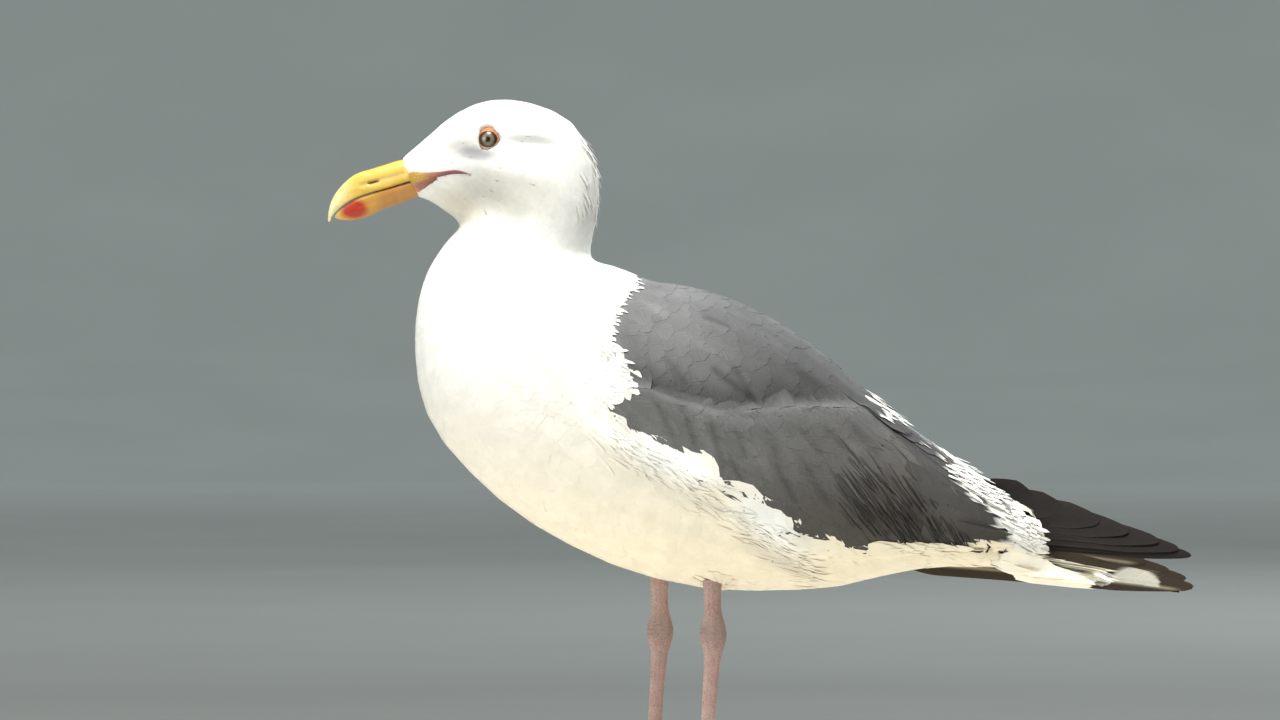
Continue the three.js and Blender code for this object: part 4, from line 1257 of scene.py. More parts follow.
def claws():
    finish = Finish("claw horn", Roughness=0.35, Specular_IOR_Level=0.5)
    grain = finish.noise(finish.places(), 700.0, 3.0)
    finish.set("Base Color", finish.ramp(grain, (0.3, (0.012, 0.009, 0.008)), (0.75, (0.05, 0.036, 0.03))))
    finish.set("Normal", finish.bump(grain, 0.3, 0.0002))
    for side_name in SIDES:
        for toe in ("inner", "middle", "outer", "hind"):
            node = f"claw_{side_name}_{toe}"
            mesh = modified(cad_copy([node]), "SUBSURF", levels=2, render_levels=2)
            mesh.shade_smooth()
            piece(node + "_horn", mesh, finish.material, [node])


skin()
claws()
bill()
for side_name, side in SIDES.items():
    eye(f"eye_{side_name}_globe", side)

HEAD_FROM = 0.300  # the head's plumage begins at this height
BELLY_FROM = -0.10  # and the belly's behind this place

# Plans of the vanes, a few of each kind so that no two feathers side by side need be alike.
TUFT = [vane(3, 3, 0.40, 0.6, 0.45, seed, 0.08) for seed in range(6)]
DOWN = [vane(5, 4, 0.40, 0.6, 0.45, seed, 0.08) for seed in range(6)]
BACK = [vane(10, 7, 0.32, 0.55, 0.45, seed, 0.04) for seed in range(6)]
STRANDS = [vane(6, 6, 0.60, 0.5, 0.40, seed, 0.08) for seed in range(6)]
WISP = [vane(4, 5, 0.78, 0.5, 0.35, seed, 0.08) for seed in range(6)]
MIRROR = [vane(40, 90, 0.26, 0.40, 0.14, 61, 0.003)]
QUILL = [vane(12, 64, 0.26, 0.40, 0.14, seed, 0.003) for seed in range(4)]
FRAYED = [vane(12, 14, 0.20, 0.45, 0.2, seed, 0.08) for seed in range(5)]


def back_edges(base, u, v, _):
    """A back feather is darker at its base and a little paler at its edge."""
    edge = np.clip(np.maximum(v, np.abs(u) ** 2) * 1.3 - 0.8, 0.0, 1.0)
    tone = 0.85 + 0.12 * v + 0.08 * edge
    return base * tone[None, :, None]


# The front edge of the grey, from the shoulder down to the bend of the wing (y, z).
SHOULDER = [(-72, 276), (-82, 265), (-88, 252), (-90, 240), (-85, 230), (-77, 221), (-80, 213), (-90, 208)]

# Painted shade in the creases between the feathers of the back and wing, and painted light on their ridges
# and edges where the
# last number is less than nothing: from (y, z) to (y, z), half width, strength.
PAINTED_CREASE_SHADE_AND_RIDGE_LIGHT = [
    (-29, 222, -8, 206, 2.0, 0.42), (-17, 222, -5, 203, 1.6, 0.36), (-33, 251.5, -20, 246, 1.3, 0.36),
    (-55, 227, -45, 215, 2.4, 0.25), (-31, 194.5, -24, 166, 1.7, 0.3), (-20, 172, -8.7, 148, 1.7, 0.3),
    (-16, 188, -11, 172, 1.5, 0.28), (4, 172, 17, 148, 1.7, 0.3), (1, 188, 7, 172, 1.5, 0.26),
    (22, 169, 36, 146, 1.8, 0.28), (20, 188, 30, 175, 1.5, 0.28), (33, 191, 47, 175, 1.6, 0.3),
    (-47, 201, -39, 178, 1.6, 0.3), (-63, 207, -52, 185, 1.6, 0.28), (49, 191, 65, 172, 1.6, 0.26),
    (62, 197, 83, 178.5, 1.7, 0.42), (83, 178.5, 106, 159, 1.7, 0.4), (85, 161, 114, 146, 2.2, 0.25),
    (81, 169, 128, 141, 1.3, -0.42), (47.5, 179, 57, 162, 2.2, -0.34), (-11, 168.5, 1, 170.5, 1.8, -0.24),
    (4, 250.5, 36, 230, 2.4, -0.26), (-36, 190, -31, 176, 2.2, -0.18), (10, 184, 17, 168, 2.2, -0.16),
    (-5, 182, 3, 158, 2.6, -0.14), (68, 188, 84, 170, 2.0, -0.2), (-3, 243, 14, 232, 1.8, -0.18),
    (-70, 262, -56, 252, 2.0, -0.16), (-44, 240, -30, 232, 2.0, -0.14), (14, 222, 30, 214, 1.6, 0.18),
]


# The small grey feathers: their plans, crowding, swing in degrees, stretch beyond the guides' length, how
# deep their roots lie as a share of the coat, and their breadth as a share of their length.
SCAPULARS = (BACK, 0.76, 3.0, 1.5, 0.45, 0.72)
COVERTS = (STRANDS, 1.15, 5.0, 1.75, 0.6, 0.34)


def slate_tint(points):
    """The back: slate in front and above, browner and darker towards the wing's hind and lower edge. Painted
    shade lies above the scapulars' hem and towards the hind scapulars, a painted highlight along the coverts'
    ledge below the hem and on the mantle's front, and painted shade and light along creases and ridges.
    """
    y, z = points[:, 1] / MM, points[:, 2] / MM
    share = np.clip((y * 0.75 + (212 - z) * 0.9 - 15) / 95, 0, 1)
    tint = blend(share, SLATE, SLATE_BROWN) * (1 - 0.14 * np.clip((168 - z) / 25, 0, 1))[:, None]
    above = over_hem(y, z)
    held = np.clip((y + 84) / 12.0, 0, 1) * np.clip((52 - y) / 50.0, 0, 1)
    # Painted shade just above the scapulars' hem, and a painted highlight on the coverts' ledge just below
    # it.
    painted_hem_shade = 0.42 * held * np.clip(above / 1.5 + 0.5, 0, 1) * np.exp(-(np.maximum(above, 0) / 13.0) ** 2)
    painted_ledge_light = 0.15 * held * np.exp(-((above + 4.5) / 3.6) ** 2)
    # Painted shade along the creases and painted light along the ridges.
    groove = np.zeros(len(points))
    for y0, z0, y1, z1, half, deep in PAINTED_CREASE_SHADE_AND_RIDGE_LIGHT:
        groove += deep * np.exp(-(near_line(y, z, [(y0, z0), (y1, z1)]) / half) ** 2)
    # Painted light: the front of the mantle made lighter.
    groove = np.clip(groove, -0.5, 0.6) - 0.30 * np.exp(-(((y + 58) / 30) ** 2 + ((z - 252) / 26) ** 2))
    # Painted shade: darker towards the hind scapulars, above the hem.
    painted_hind_shade = 0.40 * np.clip((y + 40) / 60, 0, 1) * np.clip(above / 6, 0, 1)
    tint = tint * ((1 - painted_hem_shade) * (1 + painted_ledge_light) * (1 - groove) * (1 - painted_hind_shade))[:, None]
    near = np.min([near_line(y, z, pair) for pair in zip(SHOULDER, SHOULDER[1:])], axis=0)
    return blend(0.42 * np.exp(-(near / 5.5) ** 2) * np.clip((z - 222) / 20, 0, 1), tint, (0.52, 0.53, 0.53))


def white_coat():
    """The small white feathers of the head, breast and belly, which end short of the grey."""
    regions = {
        "coat_head": lambda p: ~is_grey(p) & (p[:, 2] > HEAD_FROM) & in_feather(p),
        "coat_breast": lambda p: ~is_grey(p) & (p[:, 2] <= HEAD_FROM) & (p[:, 1] < BELLY_FROM),
        "coat_belly": lambda p: ~is_grey(p) & (p[:, 2] <= HEAD_FROM) & (p[:, 1] >= BELLY_FROM),
    }
    for seed, (name, keep) in enumerate(regions.items()):
        head = name == "coat_head"
        coat = Coat(name, white_feathers, "white_feathers", soft=0.8)
        roots = scatter(body, keep, 40 + seed, 1.02 if head else 1.0)
        way, length, _, depth = guided(roots)
        _, outs = onto(body_tree, roots)
        way = swing(way, outs, 6.0)
        vary = rng.uniform(0.85, 1.15, len(roots)) * (1.0 if head else 1.12)
        tint = (white_tint, rng.uniform(0.96, 1.02, len(roots)))
        past = rng.uniform(1, 7, len(roots)) * MM
        share = np.maximum(short_of(lambda p: ~is_grey(p), roots, way, length * vary, past), 0.3)
        vary *= share
        wide = (0.55 if head else 0.95) * length * vary * (0.55 + 0.45 * share)
        lay(coat, body_tree, TUFT if head else DOWN, roots, way, length * vary, wide,
            (0.74 * depth, depth * rng.uniform(0.97, 1.02, len(roots))), tint, camber=0.006, thick=0.15 * MM)
        if name == "coat_belly":
            leg_wisps(coat)
        if head:
            nape_wisps(coat)
        coat.finish()


def short_of(edge_test, roots, ways, long, past):
    """Shorter feathers near an edge: the longest share of `long` whose tip, less `past`, passes the test."""
    share = np.zeros(len(roots))
    for part in (0.3, 0.4, 0.5, 0.62, 0.75, 0.88, 1.0):
        tips = roots + ways * (long * part - past)[:, None]
        share = np.where(edge_test(tips), part, share)
    return share


def in_feather(points):
    """Leaves the bare parts of the face free: the eye's ring and the corner of the mouth."""
    y, z = points[:, 1] / MM, points[:, 2] / MM
    low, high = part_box("eye_left")
    eye_y, eye_z = (low.y + high.y) / 2 / MM, (low.z + high.z) / 2 / MM
    free = np.hypot((y - eye_y) / 6.6, (z - eye_z) / 5.3) > 1
    for rows in (GAPE_ROLL, CHIN_ROLL):
        line = np.array([row[:3] for row in rows])
        middle, half = np.interp(y, line[:, 0], line[:, 1]), np.interp(y, line[:, 0], line[:, 2])
        free &= (np.abs(z - middle) > half * 0.8) | (y > line[-1, 0]) | (y < line[0, 0])
    return free


def bent(ways, towards, share):
    """Ways turned part of the way towards another."""
    return unit((1 - share) * ways + share * np.array(towards, float))


def roots_along(line, count, spread, seed):
    """Roots on each side of the body, along a line given from the side as (y, z) places."""
    pick = np.random.default_rng(seed)
    line = np.array(line, float) * MM
    lengths = np.linalg.norm(np.diff(line, axis=0), axis=1)
    before = np.concatenate([[0], np.cumsum(lengths)])
    roots = []
    for side in SIDES.values():
        at = np.sort(pick.random(count)) * before[-1]
        y = np.interp(at, before, line[:, 0]) + pick.normal(0, spread, count)
        z = np.interp(at, before, line[:, 1]) + pick.normal(0, spread, count)
        roots += [side_spot(side, *place, MIDDLE) for place in zip(y, z)]
    return np.array([spot for spot in roots if spot is not None])


# The edges of the two lobes of flank feathers that lie over the wing, from the side (y, z).
UPPER_LOBE = [(-84, 197), (-77, 188), (-66, 181), (-52, 174.5), (-39, 167), (-30, 160), (-27.5, 153)]
LOWER_LOBE = [(-24, 147), (-8, 143), (3, 138), (12, 128), (22, 118), (29, 112)]


def flank_fringes(coat):
    """Long soft feathers along the lobes of the flank, their tips lying over the grey of the wing."""
    for line, count, reach, seed in ((UPPER_LOBE, 280, 17, 71), (LOWER_LOBE, 300, 20, 72)):
        inner = [(y - 12, z - 7) for y, z in line]
        roots = roots_along(inner, count, 4.0 * MM, seed)
        way, _, _, depth = guided(roots)
        way = swing(bent(way, (0, 0.95, -0.25), 0.3), onto(body_tree, roots)[1], 9.0)
        long = rng.uniform(0.75, 1.15, len(roots)) * reach * MM
        tint = (white_tint, rng.uniform(0.95, 1.02, len(roots)))
        lay(coat, body_tree, WISP, roots, way, long, rng.uniform(0.09, 0.2, len(roots)) * long,
            (0.7 * depth, depth + rng.uniform(0.3, 1.6, len(roots)) * MM), tint, camber=0.12, cling=0.92)


def shoulder_fringe(coat):
    """Soft white points where the neck's feathers lie over the grey of the back."""
    roots = roots_along([(y - 6, z) for y, z in SHOULDER], 210, 2.0 * MM, 73)
    way, _, _, depth = guided(roots)
    way = swing(bent(way, (0, 0.96, -0.28), 0.5), onto(body_tree, roots)[1], 14.0)
    long = rng.uniform(7, 13, len(roots)) * MM
    lay(coat, body_tree, WISP, roots, way, long, rng.uniform(0.16, 0.3, len(roots)) * long,
        (0.8 * depth, depth + rng.uniform(0.1, 0.6, len(roots)) * MM),
        (white_tint, rng.uniform(0.94, 1.0, len(roots))), camber=0.03, cling=0.9)


def leg_wisps(coat):
    """Feathers hanging round the top of each leg."""
    for side_name in SIDES:
        low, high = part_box(f"leg_{side_name}")
        centre = Vector(((low.x + high.x) / 2, (low.y + high.y) / 2, high.z))
        roots = []
        for _ in range(46):
            angle, reach = rng.random() * 2 * math.pi, rng.uniform(5, 13) * MM
            aside = Vector((math.cos(angle), math.sin(angle), 0.1)) * reach
            roots.append(body_tree.find_nearest(centre + aside)[0])
        roots = np.array(roots)
        inward = np.array(centre) - roots
        inward[:, 2] = -0.016
        way = unit(inward + np.array((0, 0.006, 0)))
        long = rng.uniform(9, 14, len(roots)) * MM
        tint = white_tint(roots) * rng.uniform(0.92, 1.0, (len(roots), 1))
        lay(coat, body_tree, WISP, roots, way, long, 0.34 * long,
            (np.full(len(roots), 1.2 * MM), np.full(len(roots), 2.6 * MM)), tint, cling=0.45)


def nape_wisps(coat):
    """Loose tufts standing off the nape and the hind neck."""
    pick = np.random.default_rng(77)
    places = points_of(body)
    way_out = normals_of(body)
    near = np.flatnonzero((places[:, 2] > 0.306) & (places[:, 2] < 0.362) & (places[:, 1] > -0.108)
                          & (way_out[:, 1] > 0.5))
    roots = places[pick.choice(near, 60)]
    way, _, _, depth = guided(roots)
    way = swing(way, onto(body_tree, roots)[1], 12.0)
    long = pick.uniform(7, 13, len(roots)) * MM
    tint = white_tint(roots) * pick.uniform(0.95, 1.02, (len(roots), 1))
    lay(coat, body_tree, WISP, roots, way, long, 0.2 * long,
        (0.9 * depth, depth + pick.uniform(0.3, 2.4, len(roots)) * MM), tint, camber=0.02, cling=0.3)


# Where the tips of the small wing feathers end and the white-edged long ones show beyond them (y, z).
COVER_OUTLINE = [
    (-110, 330), (-110, 120), (24, 117), (60, 115), (95, 119), (118, 121), (136, 124), (140, 131), (132, 141),
    (119, 149), (104, 159), (92, 171), (80, 184), (70, 197), (66, 207), (66, 330),
]


def in_wing_cover(points):
    return inside(COVER_OUTLINE, points[:, 1], points[:, 2])


def hanging_barbs(coat, side):
    """Loose dark strands over the wing's lower hind part, hanging past its lower edge."""
    count = 300
    at = rng.random(count)
    y = np.interp(at, [0, 1], [34, 104]) + rng.normal(0, 4, count)
    z = np.interp(at, [0, 1], [170, 148]) + rng.normal(0, 8, count)
    lie = np.radians(np.interp(at, [0, 0.6, 1], [-46, -54, -70]) + rng.normal(0, 5, count))
    roots = np.array([side_spot(side, *place) for place in zip(y * MM, z * MM)])
    way = lying(lie)
    long = np.minimum(rng.uniform(26, 52, count), (z - 112) / -np.sin(lie)) * MM
    deep = rng.uniform(-0.1, 0.75, count)

    def darker_down(base, _, v, chosen):
        return base * (1 - deep[chosen][:, None, None] * np.clip(v * 2.2, 0, 1)[None, :, None])

    lay(coat, body_tree, WISP, roots, way, long, rng.uniform(1.0, 2.2, count) * MM,
        (np.full(count, 0.4 * MM), rng.uniform(1.2, 1.9, count) * MM),
        (slate_tint, rng.uniform(0.85, 1.05, count)), darker_down, camber=0.06, curl=1.2)


def white_tuft(coat, side):
    """The white ends of the hindmost scapulars, standing off the back."""
    count = 34
    y, drop = rng.uniform(56, 72, count), rng.uniform(0, 1, count)
    z = 213 - 0.62 * (y - 56) - 9 * drop
    spots = [side_spot(side, *place) for place in zip(y * MM, z * MM)]
    roots = np.array([spot for spot in spots if spot is not None])
    way = lying(np.radians(-33 + rng.normal(0, 7, len(roots))))
    long = rng.uniform(10, 19, len(roots)) * MM
    tint = np.array(WHITE) * rng.uniform(0.9, 1.0, (len(roots), 1))
    lay(coat, body_tree, WISP, roots, way, long, 0.26 * long,
        (np.full(len(roots), 1.5 * MM), rng.uniform(2.0, 3.6, len(roots)) * MM), tint, camber=0.1, cling=0.7)


# The hind edge of the folded wing, from the side (y, z).
HIND_EDGE = [(110, 169), (124, 159.5), (136, 150.5), (146, 141.5), (152.5, 132.5), (157, 123.5), (157.5, 119)]


def hind_fringe(coat, side):
    """The white ends of the tertials, in soft rounded tufts along the wing's hind edge."""
    inner = [(y - np.interp(y, [110, 140], [3.5, 8.5]), z - 2.5) for y, z in HIND_EDGE]
    roots = roots_along(inner, 420, 2.2 * MM, 81)
    roots = roots[roots[:, 0] * side > MIDDLE * side]
    y = roots[:, 1] / MM
    lie = np.radians(np.interp(y, [60, 100, 130, 146, 152], [-37, -36, -33, -22, -8])
                     + rng.normal(0, 5, len(roots)))
    way = lying(lie)
    depth = guided(roots)[3]
    long = rng.uniform(8.5, 14, len(roots)) * np.interp(y, [94, 124], [0.55, 1.0]) * MM
    # Painted light: WHITE raised by up to an eighth, brightening tufts that the lamps reach less.
    tint = np.array(WHITE) * rng.uniform(1.0, 1.12, (len(roots), 1))
    lay(coat, body_tree, WISP, roots, way, long, rng.uniform(0.14, 0.3, len(roots)) * long,
        (depth + 1.3 * MM, depth + rng.uniform(2.6, 4.2, len(roots)) * MM), tint, camber=0.04, cling=0.6)


def grey_coat():
    for side_name, side in SIDES.items():
        for part in ("coverts", "scapulars"):
            grey_part(f"coat_{side_name}_{part}", side, part == "scapulars")


def grey_part(name, side, upper):
    """The scapulars of one side, above their hem, or the wing coverts below it."""
    coat = Coat(name, grey_feathers, "grey_feathers", soft=0.5)

    def keep(places):
        above = over_hem(places[:, 1] / MM, places[:, 2] / MM) > 0
        return is_grey(places) & (places[:, 0] * side > MIDDLE * side) & (above == upper)

    plans, crowd, swung, stretch, root_depth, breadth = SCAPULARS if upper else COVERTS
    roots = scatter(body, keep, 50 + side + 3 * upper, crowd)
    way, length, _, depth = guided(roots)
    way = swing(way, onto(body_tree, roots)[1], swung)
    vary = rng.uniform(0.9, 1.15, len(roots)) * stretch
    share = short_of(in_wing_cover, roots, way, length * vary, 0.0)
    fits = share > 0
    roots, way, depth, share, vary, length = (
        values[fits] for values in (roots, way, depth, share, vary, length))
    vary *= share
    wide = breadth * length * vary * (0.6 + 0.4 * share)
    tint = (slate_tint, rng.uniform(0.93, 1.07, len(roots)))
    rise = (root_depth * depth, depth * rng.uniform(0.96, 1.04, len(roots)))
    lay(coat, body_tree, plans, roots, way, length * vary, wide, rise, tint, back_edges, camber=0.02)
    (white_tuft if upper else hanging_barbs)(coat, side)
    coat.finish()


# ---- long feathers of the wings and the tail ----


REACH_OUT = 0.12  # how far off a surface the rays that look for it start


def height_over(tree, points, out):
    """How high the surface lies along `out` at each point."""
    heights = []
    for point in points:
        spot = tree.ray_cast(Vector(point + REACH_OUT * out), Vector(-out), 2 * REACH_OUT)[0]
        if spot is None:
            spot = tree.find_nearest(Vector(point))[0]
        heights.append(np.array(spot) @ out)
    return np.array(heights)


def quill(coat, tree, root, tip, out, width, lift, tint, plans, number, of, bow=0.0):
    """One long feather with its shaft, from `root` to `tip`, with its face towards `out`.

    It follows a smooth fit to the surface below it. It is `number` of the `of` feathers in its coat.
    """
    root, tip, out = np.array(root) * MM, np.array(tip) * MM, unit(np.array(out, float))
    way = tip - root
    way -= out * (way @ out)
    long = np.linalg.norm(way)
    way /= long
    side = np.cross(way, out)
    plan, triangles, under = plans[number % len(plans)]
    u, v = plan[:, 0], plan[:, 1]
    guess = np.outer(1 - v, root) + np.outer(v, tip)
    across = width * MM * u / 2 + bow * MM * 4 * v * (1 - v)
    flat = guess + across[:, None] * side
    heights = guess @ out
    if tree:
        terms = np.stack([np.ones_like(v), v, v ** 2, v ** 3, u, u * v, u ** 2], axis=1)
        heights = terms @ np.linalg.lstsq(terms, height_over(tree, flat, out), rcond=None)[0]
    ridge = 0.18 * np.exp(-(u * width / 2 / 0.9) ** 2) * (1 - 0.7 * v)
    up = (lift[0] + (lift[1] - lift[0]) * v + ridge - 0.03 * width * u ** 2) * MM
    held = flat + np.outer(heights + up - flat @ out, out)
    outs = np.broadcast_to(out, held.shape)
    both, faces = closed(held[None], outs[None], 0.3 * MM, triangles, under)
    colours = tint(u, v)
    strip = np.stack([width * MM * u / 2, long * v + 0.37 * number], axis=1)
    patch = np.stack([(number + 0.1 + 0.8 * (u + 1) / 2) / of, 0.02 + 0.9 * v], axis=1)
    below = under[0]
    coat.add(both, faces, np.concatenate([outs, -outs[below]])[None],
             *(np.concatenate([values, values[below]])[None] for values in (colours, strip, patch)))


def core(coat, node, colour):
    """The closed inside of a stack of long feathers, drawn in from the solid it fills."""
    mesh = cad_copy([node])
    normals = normals_of(mesh)
    flat = normals * np.array((0.25, 1.6, 1.6) if node.startswith("wing") else (1.8, 1.8, 0.5)) * MM
    places = points_of(mesh) - flat
    start = places[:, 1].min()
    places[:, 1] = start + 0.93 * (places[:, 1] - start)
    low, high = places.min(0), places.max(0)
    share = (places - low) / (high - low)
    map_places = np.stack([share[:, 1], 0.94 + 0.05 * share[:, 2]], axis=1)
    tints = np.ones_like(places) * np.array(colour)
    coat.add(places[None], triangles_of(mesh), normals[None], tints[None], map_places[None], map_places[None])


# Each wing's primaries from the outermost on: root and tip from the side (y, z), and width.
LEFT_PRIMARIES = [
    ((126, 127), (246, 115.3), 13), ((126, 131), (238.5, 119.3), 14), ((126, 135), (227, 123.8), 15),
    ((126, 139), (209.7, 129.3), 16), ((126, 143), (193, 135.0), 17), ((126, 146), (172, 142.0), 17),
    ((122, 150), (154, 149.5), 17),
]
RIGHT_PRIMARIES = [
    ((80, 112.5), (250, 96.0), 17), ((90, 116), (246, 101), 15), ((100, 119), (236, 105.5), 15),
    ((110, 123), (222, 111), 16), ((126, 126), (207, 116), 17), ((124, 131), (186, 122.5), 17),
    ((120, 135), (166, 130), 17),
]
TERTIAL_TIPS = [
    (81.8, 197.6), (90.5, 188.4), (100.3, 179.7), (110.6, 172.8), (122.2, 165.3), (133.7, 157.2),
    (143.5, 151.5), (150.4, 144.0), (155.0, 135.4), (159.6, 126.7), (159.3, 119.2),
]


def primary_tint(place, under, down):
    """Brown-black with a small white tip above. Beneath, olive brown, with a pale mirror on the outermost."""
    def tint(u, v):
        high = -u * down  # from -1 at the lower edge to 1 at the upper
        colour = blend(np.abs(u) ** 3 * 0.3 + 0.1 * v, OLIVE_BROWN if under else BLACK_BROWN, OLIVE_BROWN)
        if under:
            shaft = np.exp(-((high + 0.3) / 0.10) ** 2) * np.clip((0.96 - v) / 0.05, 0, 1)
            colour = blend(0.75 * shaft, colour, (0.42, 0.37, 0.27))
            if place == 0:
                spot = np.hypot((v - 0.80) / 0.085, (high + 0.3) / 1.15)
                mirror = np.clip((1.0 - spot) / 0.04, 0, 1) * (high > -0.3)
                colour = blend(mirror, colour, (0.66, 0.65, 0.58))
        if 1 <= place <= 4:
            colour = blend(np.clip((v - 0.993) / 0.006, 0, 0.5) * (high > 0.2), colour, WHITE)
        return colour
    return tint


# Where the far wing's feathers lie across the body at root and tip: the upper faces and the under faces.
FAR_ACROSS = {1: (-31, -24), -1: (-28, -20.5)}


def primaries():
    """The stack of long dark feathers at each wing's end, with a set for each of its faces."""
    for side_name, side in SIDES.items():
        node = f"wing_{side_name}_primaries"
        tree = Surface(cad_copy([node])) if side > 0 else None
        rows = LEFT_PRIMARIES if side > 0 else RIGHT_PRIMARIES
        coat = Coat(f"coat_{side_name}_primaries", dark_feathers, "black_feathers", [node], soft=0.0)
        core(coat, node, BLACK_BROWN)
        low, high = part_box(node)
        x = (low.x + high.x) / 2 / MM
        for face in (1, -1):
            for place, (root, tip, width) in enumerate(rows):
                lift = 0.25 + 0.42 * (place if face > 0 else 3 - place)
                if lift < 0.2:
                    continue
                root_x, tip_x = (x, x) if side > 0 else FAR_ACROSS[face]
                number = place + (0 if face > 0 else len(rows))
                quill(coat, tree, (root_x, *root), (tip_x, *tip), (side * face, 0, 0), width,
                      (lift, lift + 0.1), primary_tint(place, face < 0, side * face),
                      MIRROR if place == 0 and face < 0 else QUILL, number, 2 * len(rows),
                      bow=-1.5 * side * face)
        coat.finish()


LAID_TERTIALS = 7  # the first tertials cling to the body, and the others are straight quills over it
FAR_DROP = math.radians(-3.4)  # how far the far wing hangs lower, turned about its pivot (y, z)
FAR_PIVOT = (40, 130)


def tertials():
    """The long inner feathers of each wing. Their white tips edge the wing's hind end."""
    for side_name, side in SIDES.items():
        coat = Coat(f"coat_{side_name}_tertials", grey_feathers, "grey_feathers", soft=0.45)
        count = len(TERTIAL_TIPS)
        places = np.arange(count)
        tips = np.array(TERTIAL_TIPS, float)
        lie = np.radians(np.interp(places, [0, 2, 4, 6, 8, 10, 12], [-34, -36, -34, -28, -21, -12, -6]))
        reach = np.interp(places, [0, 6, 10, 12], [52, 74, 70, 52])
        inset = np.interp(places, [0, 7, 10, 12], [5, 5, 2, 1])
        tips -= np.stack([0.5 * inset, 0.9 * inset], axis=1)
        starts = tips - reach[:, None] * np.stack([np.cos(lie), np.sin(lie)], axis=1)
        if side < 0:
            c, s = math.cos(FAR_DROP), math.sin(FAR_DROP)
            starts, tips = ((ends - FAR_PIVOT) @ np.array([[c, s], [-s, c]]) + FAR_PIVOT
                            for ends in (starts, tips))
        roots = []
        for y, z in starts:
            spot = side_spot(side, y * MM, z * MM)
            roots.append(spot or body_tree.find_nearest(Vector((side * 0.03, y * MM, z * MM)))[0])
        roots = np.array(roots)
        way = np.zeros((count, 3))
        way[:, 1:] = unit(tips - starts)
        tint = blend(places / count, np.array(SLATE) * 0.6, np.array(SLATE_BROWN) * 0.75)

        def edges(base, u, v, chosen):
            start = np.interp(chosen, [0, 1, 2, 3, 4, 6], [0.80, 1.1, 0.90, 0.88, 0.82, 0.74])[:, None]
            start = start + 0.04 * np.sin(9 * u + chosen[:, None]) - 0.05 * u * side
            white = np.clip((v - start) / 0.03, 0, 1)[..., None]
            dark = np.clip(0.9 - 0.5 * np.clip(v - 0.2, 0, 1) * (1 - np.abs(u)), 0, 1)[None, :, None]
            return base * dark * (1 - white) + np.array(WHITE) * white

        def edged(u, v):
            return edges(tint[place][None] * np.ones((len(u), 1)), u, v, np.array([place]))[0]

        depth = guided(roots)[3]
        lift = (1.2 + 0.10 * (count - places)) * MM
        high = places < LAID_TERTIALS
        lay(coat, body_tree, FRAYED, roots[high], way[high], (reach * MM)[high], np.full(high.sum(), 15 * MM),
            (0.6 * depth[high], (depth + lift)[high]), tint[high], edges, camber=0.05, thick=0.3 * MM)
        for place in range(LAID_TERTIALS, count):
            lift = (1.0, 2.6 - 0.15 * (place - LAID_TERTIALS))
            quill(coat, body_tree, (side * 45, *starts[place]), (side * 30, *tips[place]), (side, 0, 0), 16,
                  lift, edged, FRAYED, place, count)
        hind_fringe(coat, side)
        coat.finish()


# Tail feathers of one side, from the middle out: across, length to the tip and height there, and their turn.
TAIL_TIPS = [(3, 206, 105, 8), (10, 205.5, 105, 12), (16.5, 204.5, 104.5, 18), (22, 203, 103.5, 34),
             (26.5, 203, 103.2, 50), (29, 206, 105.6, 74), (29.6, 202, 102.6, 80), (30, 197, 99.0, 86)]
RIGHT_TAIL_EDGE = 24  # on the right side, feathers further across would stand out past the wing
TAIL_PLACES = 60  # places for the tail's feathers, side by side on their bake map


def tail():
    """Tail feathers: eight and four fanned above, six below, and loose strands down the left side."""
    tree = Surface(cad_copy(["tail"]))
    coat = Coat("coat_tail", white_feathers, "white_feathers", ["tail"], soft=0.15)
    core(coat, "tail", WHITE)
    middle = MIDDLE / MM

    # Creamy white, creamier towards the root: painted warm shade on white feathers.
    def tint(_, v):
        return blend(0.35 + 0.3 * (1 - v), (0.93, 0.92, 0.85), (0.93, 0.87, 0.70))

    number = 0
    for side in SIDES.values():
        for place, (x, y, z, turn) in reversed(list(enumerate(TAIL_TIPS))):
            if side < 0 and x > RIGHT_TAIL_EDGE:
                continue
            out = (side * math.sin(math.radians(turn)), 0, math.cos(math.radians(turn)))
            lift = 0.3 + 0.3 * abs(5 - place)
            quill(coat, tree, (middle + side * (2 + x * 0.7), 130, 112.5), (middle + side * x, y, z), out,
                  15 if place < 4 else 10.5, (lift, lift + 0.3), tint, FRAYED, number, TAIL_PLACES)
            number += 1
        for place, x in enumerate((7, 16, 25)):
            lift = 0.2 + 0.25 * place
            tip = (middle + side * x, 201 - 2 * place, 98)
            quill(coat, tree, (middle + side * x * 0.8, 138, 109), tip, (0, 0, -1), 17, (lift, lift),
                  tint, FRAYED, number, TAIL_PLACES)
            number += 1
    for place in range(7):
        root = (middle + 25.5, 116 + 3 * place, 120 - 1.5 * place)
        tip = (middle + 29.5, 158 + 4 * place, 116.5 - 1.9 * place)
        quill(coat, None, root, tip, (1, 0, 0), 7.5, (0.15 * place, 0.15 * place), tint, WISP, number,
              TAIL_PLACES)
        number += 1
    for place in range(11):
        high = place / 10
        root = (middle + 30, 136 + 8 * (1 - high), 103 + 12 * high)
        tip = (middle + 30, 190 + 15 * high + 4 * math.sin(7.1 * place), 96.5 + 9.5 * high)
        quill(coat, tree, root, tip, (1, 0, 0), 4.2, (1.2 + 0.16 * place, 1.5 + 0.16 * place), tint, WISP,
              number, TAIL_PLACES)
        number += 1
    coat.finish()


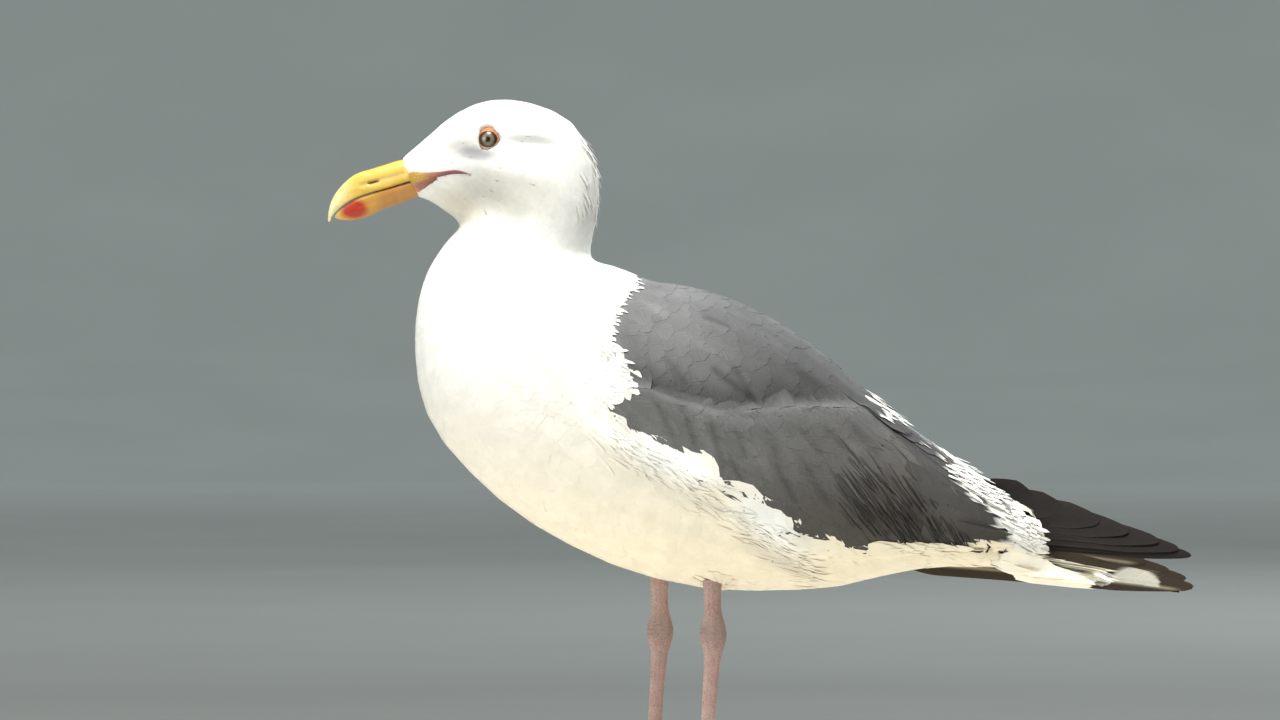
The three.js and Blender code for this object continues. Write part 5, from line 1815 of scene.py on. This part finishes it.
def tail_coverts():
    """Long soft feathers from the vent and the rump, lying over the root of the tail."""
    tree = Surface(cad_copy(["trunk", "tail"]))
    coat = Coat("coat_tail_coverts", white_feathers, "white_feathers", soft=0.6)
    pick = np.random.default_rng(91)
    roots = []
    for number in range(680):
        y = pick.uniform(92, 152)
        centre = Vector((MIDDLE, y * MM, np.interp(y, [92, 150], [126, 112]) * MM))
        turn = pick.uniform(0, 2 * math.pi) if number < 520 else pick.normal(0, 0.6)
        out = Vector((math.sin(turn), 0, math.cos(turn)))
        spot = tree.ray_cast(centre + out * 0.12, -out)[0]
        if spot is not None:
            roots.append(spot)
    roots = np.array(roots)
    way = swing(np.tile(unit(np.array([0, 1.0, -0.20])), (len(roots), 1)), onto(tree, roots)[1], 6.0)
    long = pick.uniform(22, 44, len(roots)) * MM
    tint = white_tint(roots) * pick.uniform(0.94, 1.0, (len(roots), 1))
    at_side = np.clip(np.abs(onto(tree, roots)[1][:, 0]) * 1.4 - 0.4, 0, 1) * (roots[:, 2] > 0.108)
    proud = (pick.uniform(1.0, 2.2, len(roots)) + 2.6 * at_side) * MM
    lay(coat, tree, STRANDS, roots, way, long, 0.34 * long, (np.full(len(roots), 0.3 * MM), proud), tint,
        camber=0.06)
    under_wing = roots_along([(58, 120.5), (90, 118.5), (118, 117), (146, 115.5)], 200, 1.6 * MM, 92)
    beside_vent = roots_along([(116, 112), (148, 112)], 90, 3.0 * MM, 93)
    roots = np.concatenate([under_wing, beside_vent])
    depth = guided(roots)[3]
    way = swing(np.tile(unit(np.array([0, 1.0, -0.08])), (len(roots), 1)), onto(body_tree, roots)[1], 5.0)
    long = pick.uniform(13, 22, len(roots)) * MM
    tint = white_tint(roots) * pick.uniform(0.95, 1.0, (len(roots), 1))
    lay(coat, body_tree, STRANDS, roots, way, long, 0.3 * long,
        (depth + 0.5 * MM, depth + pick.uniform(1.2, 2.2, len(roots)) * MM), tint, camber=0.06, cling=0.9)
    coat.finish()


dark_feathers = feather_finish("black feathers", 0.85, 0.5, (0.6, 0.6, 0.6, 1), 0.0, 0.4)
white_coat()
fringes = Coat("coat_fringes", white_feathers, "white_feathers", soft=0.45)
flank_fringes(fringes)
shoulder_fringe(fringes)
fringes.finish()
grey_coat()
primaries()
tertials()
tail()
tail_coverts()
